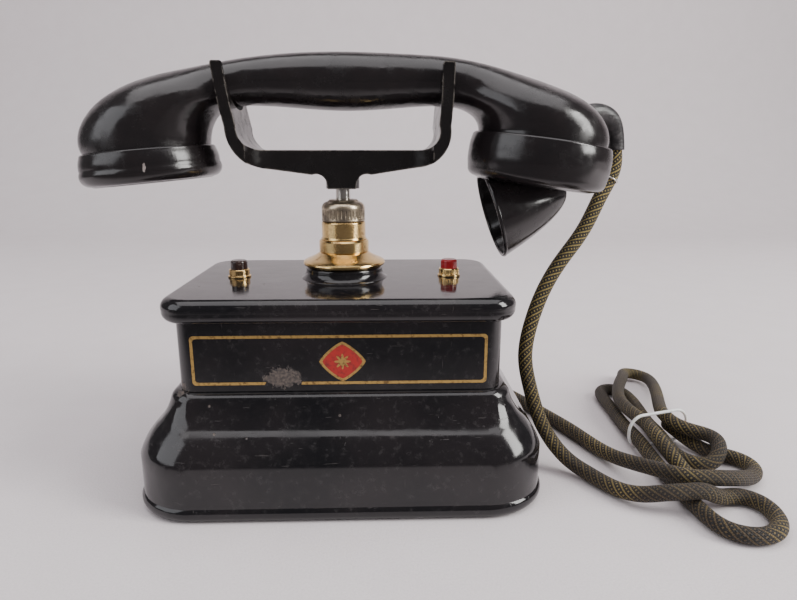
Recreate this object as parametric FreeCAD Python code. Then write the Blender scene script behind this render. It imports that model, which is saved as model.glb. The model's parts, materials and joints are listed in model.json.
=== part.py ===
import FreeCAD, Part
import math
import os

from FreeCAD import Vector

# Vintage desk telephone with a lift-off handset, a sprung cradle, two push buttons,
# a hand generator with its crank at the back, and a polarised bell inside the case.
#
# Frame: millimetres, +X to the right of someone facing the telephone, +Y to its back,
# +Z up. The origin is on the table under the middle of the base.

# ---------------------------------------------------------------- driving dimensions
# Housing
BASE_HALF_X = 86.7          # straight side of the stepped base
BASE_HALF_Y = 62.0
BASE_CORNER = 26.0
BASE_TOP = 50.0             # ledge that the case stands on
CASE_HALF_X = 67.8
CASE_HALF_Y = 44.4
CASE_CORNER = 7.4
CASE_TOP = 81.4
SHEET = 1.8                 # wall of the pressed housing
FELT = 1.2                  # thickness of the felt under the base
FELT_INSET = 4.0
LID_OVERHANG = 5.4          # lid edge beyond the case
LID_BOTTOM = 80.0
LID_TOP = 90.0
LID_SKIN = 2.5
PLATE = 1.2                 # bottom plate

# Column and cradle
ROD_R = 3.3
BOSS_TOP = 95.8
RING_BOTTOM = 102.5
RING_TOP = 107.7
NUT_BOTTOM = 116.0
NUT_TOP = 125.9
HUB_BOTTOM = 131.0
BAR_TOP = 147.9
PRONG_TOP = 183.4
ARM_HALF_DEPTH = 17.4

# Handset
HANDLE_HALF_WIDTH = 12.4
RECEIVER_R = 27.0           # radius of each case where its cap screws on
TRANSMITTER_R = 28.9
CAP_RIM = 2.8               # how far each cap stands out beyond its case
RECEIVER_SEAM = (-86.15, 147.9)
RECEIVER_TILT = 5.5         # degrees, both caps face a little inwards
TRANSMITTER_SEAM = (90.6, 152.2)
TRANSMITTER_TILT = -8.0
HORN_MOUTH = (69.0, 119.5)
HORN_TILT = 17.0
HORN_R = 21.0
HORN_DEPTH = 35.6
HORN_WALL = 1.5

# Buttons
BUTTON_X = 49.4
BUTTON_R = 3.9
COLLAR_TOP = 93.9
BUTTON_TOP = 98.2

# Generator
GEN_X = -36.0
CRANK_Z = 62.0
GEAR_MODULE = 0.8
GEAR_TEETH = 52
PINION_TEETH = 13
CRANK_RADIUS = 36.0
CRANK_ARM_Y = 64.4

# Bell
BELL_X = 38.0
GONG_R = 17.0
GONG_Y = 21.0
STRIKE_Z = 61.0

# Cord
CORD_R = 3.4

RUN = 0.05                  # radial running clearance of shafts, pins and stems
TOUCH = 0.02                # air left between parts that only rest on each other

LID_HALF_X = CASE_HALF_X + LID_OVERHANG
LID_HALF_Y = CASE_HALF_Y + LID_OVERHANG
LID_CORNER = CASE_CORNER + LID_OVERHANG
FLOOR = FELT + PLATE                 # top of the bottom plate
CENTRE_DISTANCE = GEAR_MODULE * (GEAR_TEETH + PINION_TEETH) / 2
ARMATURE_Z = CRANK_Z - CENTRE_DISTANCE
KNOB_Z = CRANK_Z - CRANK_RADIUS
CASE_BACK = CASE_HALF_Y

X_AXIS = Vector(1, 0, 0)
Y_AXIS = Vector(0, 1, 0)
Z_AXIS = Vector(0, 0, 1)


# ---------------------------------------------------------------- shape helpers
def box(x0, x1, y0, y1, z0, z1):
    """Box between two corners."""
    return Part.makeBox(x1 - x0, y1 - y0, z1 - z0, Vector(x0, y0, z0))


def rod(radius, start, end):
    """Round bar from one point to another."""
    start = Vector(*start)
    along = Vector(*end) - start
    return Part.makeCylinder(radius, along.Length, start, along)


def ball(radius, centre):
    return Part.makeSphere(radius, Vector(*centre))


def fuse(*shapes):
    """One clean solid from touching or overlapping ones."""
    result = shapes[0]
    for shape in shapes[1:]:
        result = result.fuse(shape)
    return result.removeSplitter()


def cut(shape, *tools):
    for tool in tools:
        shape = shape.cut(tool)
    return shape


def outline(steps):
    """Closed face in the XZ plane. A step is (x, z), or (x, z, via_x, via_z) for an arc
    that reaches (x, z) through the via point."""
    edges = []
    last = Vector(steps[0][0], 0, steps[0][1])
    for step in list(steps[1:]) + [steps[0][:2]]:
        point = Vector(step[0], 0, step[1])
        if (point - last).Length < 1e-6:
            continue
        if len(step) == 4:
            via = Vector(step[2], 0, step[3])
            edges.append(Part.Arc(last, via, point).toShape())
        else:
            edges.append(Part.makeLine(last, point))
        last = point
    return Part.Face(Part.Wire(edges))


def turned(steps, centre_x=0.0, centre_y=0.0):
    """Solid turned about a vertical axis. The outline's x is the radius."""
    solid = outline(steps).revolve(Vector(0, 0, 0), Z_AXIS, 360)
    solid.translate(Vector(centre_x, centre_y, 0))
    return solid


def turned_about_y(steps, x, z):
    """Solid turned about an axis along Y. The outline's first number is the radius and its
    second is the Y position."""
    solid = turned(steps)
    solid.rotate(Vector(0, 0, 0), X_AXIS, -90)
    solid.translate(Vector(x, 0, z))
    return solid


def moulded(steps, half_x, half_y, corner):
    """Solid with a rounded-rectangle plan whose side follows an outline. The outline's
    first number is the inset from half_x and half_y, so its inner edge is at corner."""
    section = [(corner - s[0], s[1]) if len(s) == 2 else
               (corner - s[0], s[1], corner - s[2], s[3]) for s in steps]
    face = outline(section)
    core_x = half_x - corner
    core_y = half_y - corner
    heights = face.BoundBox
    pieces = []
    for angle, sign_x, sign_y in ((0, 1, 1), (90, -1, 1), (180, -1, -1), (270, 1, -1)):
        post = face.revolve(Vector(0, 0, 0), Z_AXIS, 90)
        post.rotate(Vector(0, 0, 0), Z_AXIS, angle)
        post.translate(Vector(sign_x * core_x, sign_y * core_y, 0))
        reach, length = (core_x, core_y) if angle in (0, 180) else (core_y, core_x)
        wall = face.copy()
        wall.translate(Vector(reach, -length, 0))
        wall = wall.extrude(Vector(0, 2 * length, 0))
        wall.rotate(Vector(0, 0, 0), Z_AXIS, angle)
        pieces += [post, wall]
    core = box(-core_x, core_x, -core_y, core_y, heights.ZMin, heights.ZMax)
    return core.multiFuse(pieces).removeSplitter()


def rounded_block(half_x, half_y, corner, z0, z1):
    """Upright block with rounded corners in plan."""
    return moulded([(corner, z0), (0, z0), (0, z1), (corner, z1)], half_x, half_y, corner)


def spline(points):
    curve = Part.BSplineCurve()
    curve.interpolate([Vector(*p) for p in points])
    return curve.toShape()


def pipe(points, radius):
    """Round cord or wire along a smooth curve through the points, swept a short length
    at a time so that tight bends stay round."""
    curve = Part.BSplineCurve()
    curve.interpolate([Vector(*p) for p in points])
    lengths = len(points) // 2
    step = (curve.LastParameter - curve.FirstParameter) / lengths
    edges = [curve.toShape(curve.FirstParameter + i * step,
                           curve.FirstParameter + (i + 1) * step) for i in range(lengths)]
    tangent = edges[0].tangentAt(edges[0].FirstParameter)
    ring = Part.Wire(Part.makeCircle(radius, Vector(*points[0]), tangent))
    return Part.Wire(edges).makePipeShell([ring], True, False)


def coil(radius, wire, z0, z1, turns, x=0.0, y=0.0):
    """Helical spring of round wire about a vertical axis."""
    steps = 8 * turns
    rise = (z1 - z0 - 2 * wire) / steps
    return pipe([(x + radius * math.cos(i * math.pi / 4), y + radius * math.sin(i * math.pi / 4),
                  z0 + wire + i * rise) for i in range(steps + 1)], wire)


def tilted(shape, seam, tilt):
    """Place a part drawn with its seam at the origin onto a case's seam."""
    shape.rotate(Vector(0, 0, 0), Y_AXIS, -tilt)
    shape.translate(Vector(seam[0], 0, seam[1]))
    return shape


def involute_gear(teeth, width, bore, x, z, y0, tooth_angle, addendum):
    """Spur gear in the XZ plane with one tooth centred on tooth_angle, in degrees."""
    pressure = math.radians(20)
    pitch_r = GEAR_MODULE * teeth / 2
    base_r = pitch_r * math.cos(pressure)
    root_r = pitch_r - 1.25 * GEAR_MODULE
    tip_r = pitch_r + addendum * GEAR_MODULE
    backlash = 0.10
    involute = math.tan(pressure) - pressure
    half_tooth = (math.pi * GEAR_MODULE / 2 - backlash) / 2 / pitch_r

    def polar(radius, angle):
        return Vector(radius * math.cos(angle), 0, radius * math.sin(angle))

    def half_angle(radius):
        roll = math.acos(base_r / radius)
        return half_tooth + involute - (math.tan(roll) - roll)

    start_r = max(base_r * 1.0005, root_r)
    flank = [start_r + (tip_r - start_r) * i / 5 for i in range(6)]
    edges = []
    step = 2 * math.pi / teeth
    for i in range(teeth):
        middle = math.radians(tooth_angle) + i * step
        rise = [polar(r, middle - half_angle(r)) for r in flank]
        fall = [polar(r, middle + half_angle(r)) for r in reversed(flank)]
        root_a = polar(root_r, middle - half_angle(start_r))
        root_b = polar(root_r, middle + half_angle(start_r))
        next_root = polar(root_r, middle + step - half_angle(start_r))
        if (root_a - rise[0]).Length > 1e-4:
            edges.append(Part.makeLine(root_a, rise[0]))
        edges.append(spline([tuple(p) for p in rise]))
        edges.append(Part.Arc(rise[-1], polar(tip_r, middle), fall[0]).toShape())
        edges.append(spline([tuple(p) for p in fall]))
        if (root_b - fall[-1]).Length > 1e-4:
            edges.append(Part.makeLine(fall[-1], root_b))
        edges.append(Part.Arc(root_b, polar(root_r, middle + step / 2), next_root).toShape())
    face = Part.Face(Part.Wire(edges))
    gear = face.extrude(Vector(0, width, 0))
    gear.translate(Vector(x, y0, z))
    return gear.cut(rod(bore, (x, y0 - 1, z), (x, y0 + width + 1, z)))


# ---------------------------------------------------------------- housing
def base_outside():
    return [(BASE_CORNER, FELT), (0, FELT),
            (0, 6.4, -1.1, 3.8),                     # rolled bead round the foot
            (0.1, 23.5),
            (8.6, 36.4, 2.9, 29.4),                  # shoulder
            (14.2, 46.6, 12.2, 41.6),                # cove
            (18.2, BASE_TOP, 16.4, 49.4),            # rounded top edge
            (BASE_CORNER, BASE_TOP)]


def base_inside():
    return [(BASE_CORNER, 0), (2.0, 0), (2.0, 23.0),
            (10.8, 35.0, 4.8, 29.6),
            (16.4, 45.4, 14.3, 39.8),
            (20.8, 48.0), (20.8, BASE_TOP + 1), (BASE_CORNER, BASE_TOP + 1)]


CORNER_SCREWS = [(sx * 75.0, sy * 50.7) for sx in (-1, 1) for sy in (-1, 1)]
SCREW_R = 1.5
SCREW_HEAD = 1.0
SCREW_SHANK = 7.0
TERMINAL_X = -71.0
TERMINAL_TOP = 11.0
TERMINAL_YS = [-25.0 + 10.0 * i for i in range(6)]
CORD_EXIT = (50.0, 14.0)     # x and z of the hole in the back of the base


def base_moulding():
    shell = moulded(base_outside(), BASE_HALF_X, BASE_HALF_Y, BASE_CORNER)
    shell = shell.cut(moulded(base_inside(), BASE_HALF_X, BASE_HALF_Y, BASE_CORNER))
    for x, y in CORNER_SCREWS:
        shell = shell.fuse(rod(5.2, (x, y, FLOOR), (x, y, 22)))
        shell = shell.cut(rod(SCREW_R, (x, y, FLOOR - 1), (x, y, 18)))
    x, z = CORD_EXIT
    return shell.cut(rod(5.6, (x, BASE_HALF_Y - 6, z), (x, BASE_HALF_Y + 2, z)))


def body_case():
    tube = rounded_block(CASE_HALF_X, CASE_HALF_Y, CASE_CORNER, BASE_TOP, CASE_TOP)
    inner = rounded_block(CASE_HALF_X - SHEET, CASE_HALF_Y - SHEET, CASE_CORNER - SHEET,
                          BASE_TOP - 1, CASE_TOP + 1)
    hole = rod(5.0, (GEN_X, CASE_BACK - 4, CRANK_Z), (GEN_X, CASE_BACK + 2, CRANK_Z))
    return cut(tube, inner, hole)


def lid():
    edge = [(LID_CORNER, LID_BOTTOM), (3.2, LID_BOTTOM),
            (0, 84.4, 0.9, 81.3),
            (3.8, LID_TOP, 1.1, 88.7),
            (LID_CORNER, LID_TOP)]
    slab = moulded(edge, LID_HALF_X, LID_HALF_Y, LID_CORNER)
    cavity = rounded_block(CASE_HALF_X - 2.4, CASE_HALF_Y - 2.4, CASE_CORNER - 2.4,
                           LID_BOTTOM - 1, LID_TOP - LID_SKIN)
    seat = rounded_block(CASE_HALF_X + 0.05, CASE_HALF_Y + 0.05, CASE_CORNER + 0.05,
                         LID_BOTTOM - 1, CASE_TOP)
    boss = turned([(0, LID_TOP - 1), (20.2, LID_TOP - 1), (20.0, LID_TOP + 0.2),
                   (17.8, BOSS_TOP - 1.6, 18.2, LID_TOP + 2.0),
                   (16.2, BOSS_TOP, 17.33, BOSS_TOP - 0.47), (0, BOSS_TOP)])
    body = slab.fuse(boss)
    body = cut(body, cavity, seat, rod(8.05, (0, 0, LID_TOP - 4), (0, 0, BOSS_TOP + 1)))
    for sign in (-1, 1):
        x = sign * BUTTON_X
        body = body.cut(rod(4.75, (x, 0, LID_TOP - 4), (x, 0, LID_TOP + 1)))
    return body.removeSplitter()


def base_plate():
    plate = rounded_block(BASE_HALF_X - 2.1, BASE_HALF_Y - 2.1, BASE_CORNER - 2.1,
                          FELT, FLOOR)
    for x, y in CORNER_SCREWS:
        plate = plate.cut(rod(1.7, (x, y, 0), (x, y, FLOOR + 1)))
    return plate


def felt_pad():
    """Felt sheet that the telephone stands on, cut away round the screw heads."""
    pad = rounded_block(BASE_HALF_X - FELT_INSET, BASE_HALF_Y - FELT_INSET,
                        BASE_CORNER - FELT_INSET, 0, FELT)
    for x, y in CORNER_SCREWS:
        pad = pad.cut(rod(3.3, (x, y, -1), (x, y, FELT + 1)))
    return pad


def cheese_screw(x, y, seat_z, upward):
    """Slotted screw whose head sits on seat_z; the shank runs up or down from there."""
    way = 1 if upward else -1
    screw = fuse(rod(2.9, (x, y, seat_z), (x, y, seat_z - way * SCREW_HEAD)),
                 rod(SCREW_R, (x, y, seat_z), (x, y, seat_z + way * SCREW_SHANK)))
    z0, z1 = sorted((seat_z - way * SCREW_HEAD * 0.45, seat_z - way * SCREW_HEAD * 1.2))
    return screw.cut(box(x - 3, x + 3, y - 0.35, y + 0.35, z0, z1))


def screws():
    """Four identical screws in the bottom plate and six in the terminal strip."""
    plate = [cheese_screw(x, y, FELT, True) for x, y in CORNER_SCREWS]
    strip = [cheese_screw(TERMINAL_X, y, TERMINAL_TOP, False) for y in TERMINAL_YS]
    return Part.makeCompound(plate + strip)


def cord_bush():
    """Grommet in the back of the base."""
    x, z = CORD_EXIT
    y = BASE_HALF_Y
    bore = CORD_R + 0.7
    return turned_about_y([(bore, y - 3.6), (6.8, y - 3.6), (6.8, y - 2.05),
                           (5.5, y - 2.05), (5.5, y + 0.05), (7.2, y + 0.05),
                           (5.6, y + 3.4, 7.0, y + 2.4), (bore, y + 3.4)], x, z)


# ---------------------------------------------------------------- column
def column_flange():
    """Flared brass foot and ring of the column."""
    return turned([(8.1, BOSS_TOP), (18.3, BOSS_TOP),
                   (18.9, BOSS_TOP + 1.2, 19.0, BOSS_TOP + 0.5),
                   (16.9, BOSS_TOP + 2.4, 18.3, BOSS_TOP + 2.1),
                   (11.0, RING_BOTTOM, 12.6, BOSS_TOP + 4.2),
                   (11.5, RING_BOTTOM + 0.6), (11.5, RING_TOP - 0.8),
                   (10.7, RING_TOP, 11.3, RING_TOP - 0.2), (8.1, RING_TOP)])


def column_sleeve():
    """Spring housing: tube through the lid, shoulder above the ring, guide at the foot."""
    shell = turned([(6.6, 80.0), (6.6, NUT_BOTTOM), (9.9, NUT_BOTTOM),
                    (10.1, NUT_BOTTOM - 0.8), (10.1, RING_TOP + 1.4),
                    (10.5, RING_TOP + TOUCH, 10.4, RING_TOP + 0.7),
                    (8.0, RING_TOP + TOUCH), (8.0, 76.0), (ROD_R + RUN, 76.0),
                    (ROD_R + RUN, 80.0)])
    return shell


def column_locknut():
    """Hexagon nut that clamps the column under the lid."""
    points = [Vector(12.5 * math.cos(math.radians(a)), 12.5 * math.sin(math.radians(a)),
                     LID_TOP - LID_SKIN - 4.2) for a in range(0, 361, 60)]
    nut = Part.Face(Part.makePolygon(points)).extrude(Vector(0, 0, 4.2 - TOUCH))
    return nut.cut(rod(8.0, (0, 0, 80), (0, 0, 90)))


def column_nut():
    """Knurled cap nut that guides the rod."""
    nut = turned([(ROD_R + RUN, NUT_BOTTOM + TOUCH), (9.4, NUT_BOTTOM + TOUCH),
                  (9.9, NUT_BOTTOM + 1.2, 9.8, NUT_BOTTOM + 0.3),
                  (9.9, NUT_TOP - 4.2),
                  (7.4, NUT_TOP - 0.9, 9.3, NUT_TOP - 2.0),
                  (6.4, NUT_TOP), (ROD_R + RUN, NUT_TOP)])
    grooves = 36
    for i in range(grooves):
        angle = 2 * math.pi * i / grooves
        x = 10.15 * math.cos(angle)
        y = 10.15 * math.sin(angle)
        nut = nut.cut(rod(0.5, (x, y, NUT_BOTTOM + 1.8), (x, y, NUT_TOP - 4.4)))
    return nut


def plunger_rod():
    """Rod from the cradle down to the switch, with a round end."""
    tip = SWITCH_TIP_Z + ROD_R
    return fuse(rod(ROD_R, (0, 0, tip), (0, 0, HUB_BOTTOM + 8)), ball(ROD_R, (0, 0, tip)))


def rod_collar():
    """Ring pinned to the rod: the spring pushes it up against the nut."""
    ring = rod(6.2, (0, 0, 107.0), (0, 0, 109.5))
    return ring.cut(rod(ROD_R, (0, 0, 106), (0, 0, 111)))


def return_spring():
    return coil(4.9, 0.6, 80.05, 106.95, 7)


# ---------------------------------------------------------------- cradle
SEAT_Z = 174.6              # centre height of the rounded seats between the prongs
# left end, half width and bottom of each seat
SEATS = ((-60, 15.7, 165.0), (0, 13.8, 166.6))


def cradle_fork():
    front = outline([
        (-52.2, PRONG_TOP - 1.2), (-49.9, 166.0), (-48.0, 157.0),
        (-34.0, 140.0, -43.6, 145.6),
        (-13.0, 137.2), (-6.6, 133.4, -8.4, 136.6), (-6.2, HUB_BOTTOM),
        (6.2, HUB_BOTTOM), (6.6, 133.4), (13.0, 137.2, 8.4, 136.6),
        (34.0, 140.4), (47.3, 157.5, 44.6, 146.4),
        (48.2, 168.0), (48.6, PRONG_TOP - 1.2), (47.4, PRONG_TOP, 48.3, PRONG_TOP - 0.3),
        (44.6, PRONG_TOP), (43.5, PRONG_TOP - 1.2, 43.8, PRONG_TOP - 0.3),
        (43.1, 168.0), (42.2, 158.0), (35.5, BAR_TOP, 40.6, 150.2),
        (-35.0, BAR_TOP), (-43.2, 157.5, -40.7, 150.6),
        (-45.2, 167.0), (-47.3, PRONG_TOP - 1.2), (-48.4, PRONG_TOP, -47.6, PRONG_TOP - 0.3),
        (-51.0, PRONG_TOP), (-52.2, PRONG_TOP - 1.2, -52.0, PRONG_TOP - 0.3)])
    front.translate(Vector(0, -ARM_HALF_DEPTH, 0))
    casting = front.extrude(Vector(0, 2 * ARM_HALF_DEPTH, 0))
    neck = 8.0
    for sign in (-1, 1):
        y_out = sign * (ARM_HALF_DEPTH + 1)
        y_arm = sign * ARM_HALF_DEPTH
        y_bar = sign * neck
        steps = [Vector(-40, y_out, 0), Vector(-40, y_arm, 0), Vector(-27, y_bar, 0),
                 Vector(27, y_bar, 0), Vector(40, y_arm, 0), Vector(40, y_out, 0)]
        edges = [Part.makeLine(steps[0], steps[1]),
                 Part.Arc(steps[1], Vector(-36.5, y_bar + (y_arm - y_bar) * 0.36, 0),
                          steps[2]).toShape(),
                 Part.makeLine(steps[2], steps[3]),
                 Part.Arc(steps[3], Vector(36.5, y_bar + (y_arm - y_bar) * 0.36, 0),
                          steps[4]).toShape(),
                 Part.makeLine(steps[4], steps[5]),
                 Part.makeLine(steps[5], steps[0])]
        waste = Part.Face(Part.Wire(edges)).extrude(Vector(0, 0, 100))
        waste.translate(Vector(0, 0, 100))
        casting = casting.cut(waste)
    for x0, half_width, bottom in SEATS:
        seat = Part.Ellipse(Vector(0, 0, 0), half_width, SEAT_Z - bottom)
        seat = Part.Face(Part.Wire(seat.toShape())).extrude(Vector(0, 0, 60))
        seat.rotate(Vector(0, 0, 0), Vector(1, 1, 1), 120)
        seat.translate(Vector(x0, 0, SEAT_Z))
        slot = box(x0, x0 + 60, -half_width, half_width, SEAT_Z, 200)
        casting = cut(casting, seat, slot)
    casting = casting.fuse(rod(7.6, (0, 0, HUB_BOTTOM), (0, 0, 139)))
    casting = casting.removeSplitter()
    return casting.cut(rod(ROD_R, (0, 0, HUB_BOTTOM - 1), (0, 0, HUB_BOTTOM + 8)))


# ---------------------------------------------------------------- buttons
def button(side):
    x = side * BUTTON_X
    cap = turned([(0, 91.5), (BUTTON_R, 91.5), (BUTTON_R, BUTTON_TOP - 1.2),
                  (BUTTON_R - 1.2, BUTTON_TOP - 0.2, BUTTON_R - 0.3, BUTTON_TOP - 0.5),
                  (0, BUTTON_TOP)], x)
    return fuse(cap, rod(1.6, (x, 0, 82.0), (x, 0, 92.0)))


def button_collar(side, knurled):
    x = side * BUTTON_X
    inner = BUTTON_R + 0.08
    collar = turned([(1.6 + RUN, 84.0), (4.7, 84.0), (4.7, LID_TOP + TOUCH),
                     (5.3, LID_TOP + TOUCH), (5.3, LID_TOP + 0.8), (4.75, LID_TOP + 1.1),
                     (4.75, COLLAR_TOP - 0.4), (4.4, COLLAR_TOP), (inner, COLLAR_TOP),
                     (inner, 85.5), (1.6 + RUN, 85.5)], x)
    if knurled:
        grooves = 24
        for i in range(grooves):
            angle = 2 * math.pi * i / grooves
            gx = x + 4.95 * math.cos(angle)
            gy = 4.95 * math.sin(angle)
            collar = collar.cut(rod(0.38, (gx, gy, LID_TOP + 1.2), (gx, gy, COLLAR_TOP - 0.5)))
    return collar


def button_springs():
    return Part.makeCompound([coil(2.8, 0.35, 85.55, 91.45, 4, sign * BUTTON_X)
                              for sign in (-1, 1)])


BUTTON_LEAF_ZS = (78.6, 80.4)       # undersides of the two leaves below each button
LEAF = 0.4                          # thickness of a contact leaf


def button_leaf(sign, z):
    """Leaf that runs from under a button into its insulating block."""
    x0, x1 = sorted((sign * (BUTTON_X - 5), sign * (BUTTON_X + 13)))
    return box(x0, x1, -2.5, 2.5, z, z + LEAF)


def contact_blocks():
    """Insulating blocks that hold the leaf contacts, under the lid and at the switch."""
    blocks = []
    for sign in (-1, 1):
        x0, x1 = sorted((sign * (BUTTON_X + 9), sign * (BUTTON_X + 14)))
        block = box(x0, x1, -5, 5, 76.0, LID_TOP - LID_SKIN)
        blocks.append(cut(block, *[button_leaf(sign, z) for z in BUTTON_LEAF_ZS]))
    y = SWITCH_PIVOT_Y
    blocks.append(box(-8, 8, y + 9, y + 13, SWITCH_LEAF_ZS[0] + LEAF, SWITCH_LEAF_ZS[1]))
    blocks.append(box(-8, 8, y + 9, y + 13, SWITCH_LEAF_ZS[1] + LEAF,
                      SWITCH_LEAF_ZS[1] + LEAF + 1.6))
    return Part.makeCompound(blocks)


# ---------------------------------------------------------------- hook switch
SWITCH_PIVOT_Y = 22.0
SWITCH_PIVOT_Z = 33.0
LEVER_RISE = 1.0            # lever's top face above its pivot
SWITCH_TIP_Z = SWITCH_PIVOT_Z + LEVER_RISE + 0.5
SWITCH_LEAF_ZS = (24.0, 26.0)


def switch_bracket():
    y = SWITCH_PIVOT_Y
    bed = box(-8, 8, y - 5, y + 14, FLOOR, FLOOR + 2)
    ears = [box(x, x + 2, y - 4, y + 4, FLOOR, SWITCH_PIVOT_Z + 4) for x in (-8, 6)]
    block = box(-8, 8, y + 9, y + 14, FLOOR, SWITCH_LEAF_ZS[0])
    bracket = fuse(bed, ears[0], ears[1], block)
    return bracket.cut(rod(1.5, (-9, y, SWITCH_PIVOT_Z), (9, y, SWITCH_PIVOT_Z)))


def switch_lever():
    """Rocking lever: its front end follows the rod and its tail works the contacts."""
    y = SWITCH_PIVOT_Y
    z = SWITCH_PIVOT_Z
    arm = box(-4, 4, -5, y, z - 1.2, z + LEVER_RISE)
    tail = box(-5, 5, y, y + 8, z - 1.2, z + LEVER_RISE)
    boss = rod(3.2, (-5.6, y, z), (5.6, y, z))
    nub = box(-4.5, 4.5, y + 5, y + 7, z - 5.6, z)
    return fuse(arm, tail, boss, nub).cut(rod(1.5 + RUN, (-9, y, z), (9, y, z)))


def leaf_contacts():
    """Bronze leaves: two under each button, and three pairs at the hook switch."""
    leaves = [button_leaf(sign, z) for sign in (-1, 1) for z in BUTTON_LEAF_ZS]
    y = SWITCH_PIVOT_Y
    for x in (-5.5, -1.5, 2.5):
        for z in SWITCH_LEAF_ZS:
            leaves.append(box(x, x + 3, y + 4.5, y + 13, z, z + LEAF))
    return Part.makeCompound(leaves)


# ---------------------------------------------------------------- generator
POLE_HALF = 15.8
MAGNET_HALF = 22.0
GEN_HALF_Y = 24.0
BOW_Z = 56.0
POLE_Z0 = ARMATURE_Z - 14
POLE_Z1 = ARMATURE_Z + 14


def generator_bed():
    """Cast stand under the pole pieces."""
    block = box(GEN_X - POLE_HALF, GEN_X + POLE_HALF, -28, 28, FLOOR, POLE_Z0)
    return block.cut(box(GEN_X - 10, GEN_X + 10, -29, 29, FLOOR + 3, POLE_Z0 - 4))


def pole_pieces():
    """Two soft-iron halves round the armature."""
    block = box(GEN_X - POLE_HALF, GEN_X + POLE_HALF, -GEN_HALF_Y, GEN_HALF_Y,
                POLE_Z0 + TOUCH, POLE_Z1)
    bore = rod(12.5, (GEN_X, -30, ARMATURE_Z), (GEN_X, 30, ARMATURE_Z))
    gap = box(GEN_X - 4, GEN_X + 4, -30, 30, POLE_Z0 - 1, POLE_Z1 + 1)
    return cut(block, bore, gap)


def magneto_magnets():
    """Three horseshoe magnets side by side."""
    magnets = []
    for y0 in (-GEN_HALF_Y, -7.5, 9.0):
        legs = box(GEN_X - MAGNET_HALF, GEN_X + MAGNET_HALF, y0, y0 + 15, POLE_Z0 - 2, BOW_Z)
        bow = rod(MAGNET_HALF, (GEN_X, y0, BOW_Z), (GEN_X, y0 + 15, BOW_Z))
        space = box(GEN_X - POLE_HALF, GEN_X + POLE_HALF, y0 - 1, y0 + 16,
                    POLE_Z0 - 3, BOW_Z)
        hollow = rod(POLE_HALF, (GEN_X, y0 - 1, BOW_Z), (GEN_X, y0 + 16, BOW_Z))
        magnets.append(cut(legs.fuse(bow), space, hollow).removeSplitter())
    return Part.makeCompound(magnets)


def generator_end_plates():
    """Brass plates that carry both shafts."""
    plates = []
    for y0 in (-27.5, 24.5):
        plate = box(GEN_X - 12, GEN_X + 12, y0, y0 + 3, POLE_Z0 + TOUCH, CRANK_Z + 8)
        plates.append(cut(plate,
                          rod(2.5 + RUN, (GEN_X, y0 - 1, ARMATURE_Z),
                              (GEN_X, y0 + 4, ARMATURE_Z)),
                          rod(3.0 + RUN, (GEN_X, y0 - 1, CRANK_Z), (GEN_X, y0 + 4, CRANK_Z))))
    return Part.makeCompound(plates)


def armature():
    """Shuttle armature: an H in section, with its shaft."""
    drum = rod(12.0, (GEN_X, -22, ARMATURE_Z), (GEN_X, 22, ARMATURE_Z))
    for sign in (-1, 1):
        x0, x1 = sorted((GEN_X + sign * 3.5, GEN_X + sign * 13))
        drum = drum.cut(box(x0, x1, -18, 18, ARMATURE_Z - 7, ARMATURE_Z + 7))
    return drum.fuse(rod(2.5, (GEN_X, -30, ARMATURE_Z), (GEN_X, 37, ARMATURE_Z)))


def armature_winding():
    """Wire wound in the armature's two slots."""
    packs = []
    for sign in (-1, 1):
        x0, x1 = sorted((GEN_X + sign * 3.5, GEN_X + sign * 9.2))
        packs.append(box(x0, x1, -18, 18, ARMATURE_Z - 7, ARMATURE_Z + 7))
    return Part.makeCompound(packs)


def armature_pinion():
    return involute_gear(PINION_TEETH, 6, 2.5, GEN_X, ARMATURE_Z, 30.0,
                         90 + 180 / PINION_TEETH, 1.0)


def drive_gear():
    wheel = involute_gear(GEAR_TEETH, 5, 3.0, GEN_X, CRANK_Z, 30.5, -90, 0.75)
    for i in range(5):
        angle = 2 * math.pi * (i + 0.5) / 5
        x = GEN_X + 12.4 * math.cos(angle)
        z = CRANK_Z + 12.4 * math.sin(angle)
        wheel = wheel.cut(rod(4.2, (x, 30, z), (x, 36, z)))
    return wheel


def crank_shaft():
    """Shaft through the magnets and the back of the case."""
    return rod(3.0, (GEN_X, -29, CRANK_Z), (GEN_X, CRANK_ARM_Y + 4.0, CRANK_Z))


def crank_bush():
    """Flanged brass bearing in the back of the case."""
    y = CASE_BACK
    return turned_about_y([(3.0 + RUN, y - 5), (4.95, y - 5), (4.95, y + TOUCH),
                           (8.5, y + TOUCH), (8.5, y + 1.6), (6.0, y + 3.2),
                           (5.4, y + 6.5, 5.5, y + 4.6), (3.0 + RUN, y + 6.5)],
                          GEN_X, CRANK_Z)


def crank_arm():
    y0 = CRANK_ARM_Y
    y1 = y0 + 4.0
    hub = rod(6.5, (GEN_X, y0 - 4.5, CRANK_Z), (GEN_X, y1, CRANK_Z))
    eye = rod(4.8, (GEN_X, y0, KNOB_Z), (GEN_X, y1, KNOB_Z))
    web = Part.Face(Part.makePolygon([
        Vector(GEN_X - 5.0, y0, CRANK_Z), Vector(GEN_X + 5.0, y0, CRANK_Z),
        Vector(GEN_X + 3.8, y0, KNOB_Z), Vector(GEN_X - 3.8, y0, KNOB_Z),
        Vector(GEN_X - 5.0, y0, CRANK_Z)])).extrude(Vector(0, 4.0, 0))
    arm = fuse(hub, eye, web)
    return cut(arm, rod(3.0, (GEN_X, y0 - 6, CRANK_Z), (GEN_X, y1 + 1, CRANK_Z)),
               rod(2.0, (GEN_X, y0 - 1, KNOB_Z), (GEN_X, y1 + 1, KNOB_Z)))


def knob_pin():
    y = CRANK_ARM_Y
    return fuse(rod(2.0, (GEN_X, y, KNOB_Z), (GEN_X, y + 26.0, KNOB_Z)),
                rod(3.4, (GEN_X, y + 26.0, KNOB_Z), (GEN_X, y + 27.4, KNOB_Z)))


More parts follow.
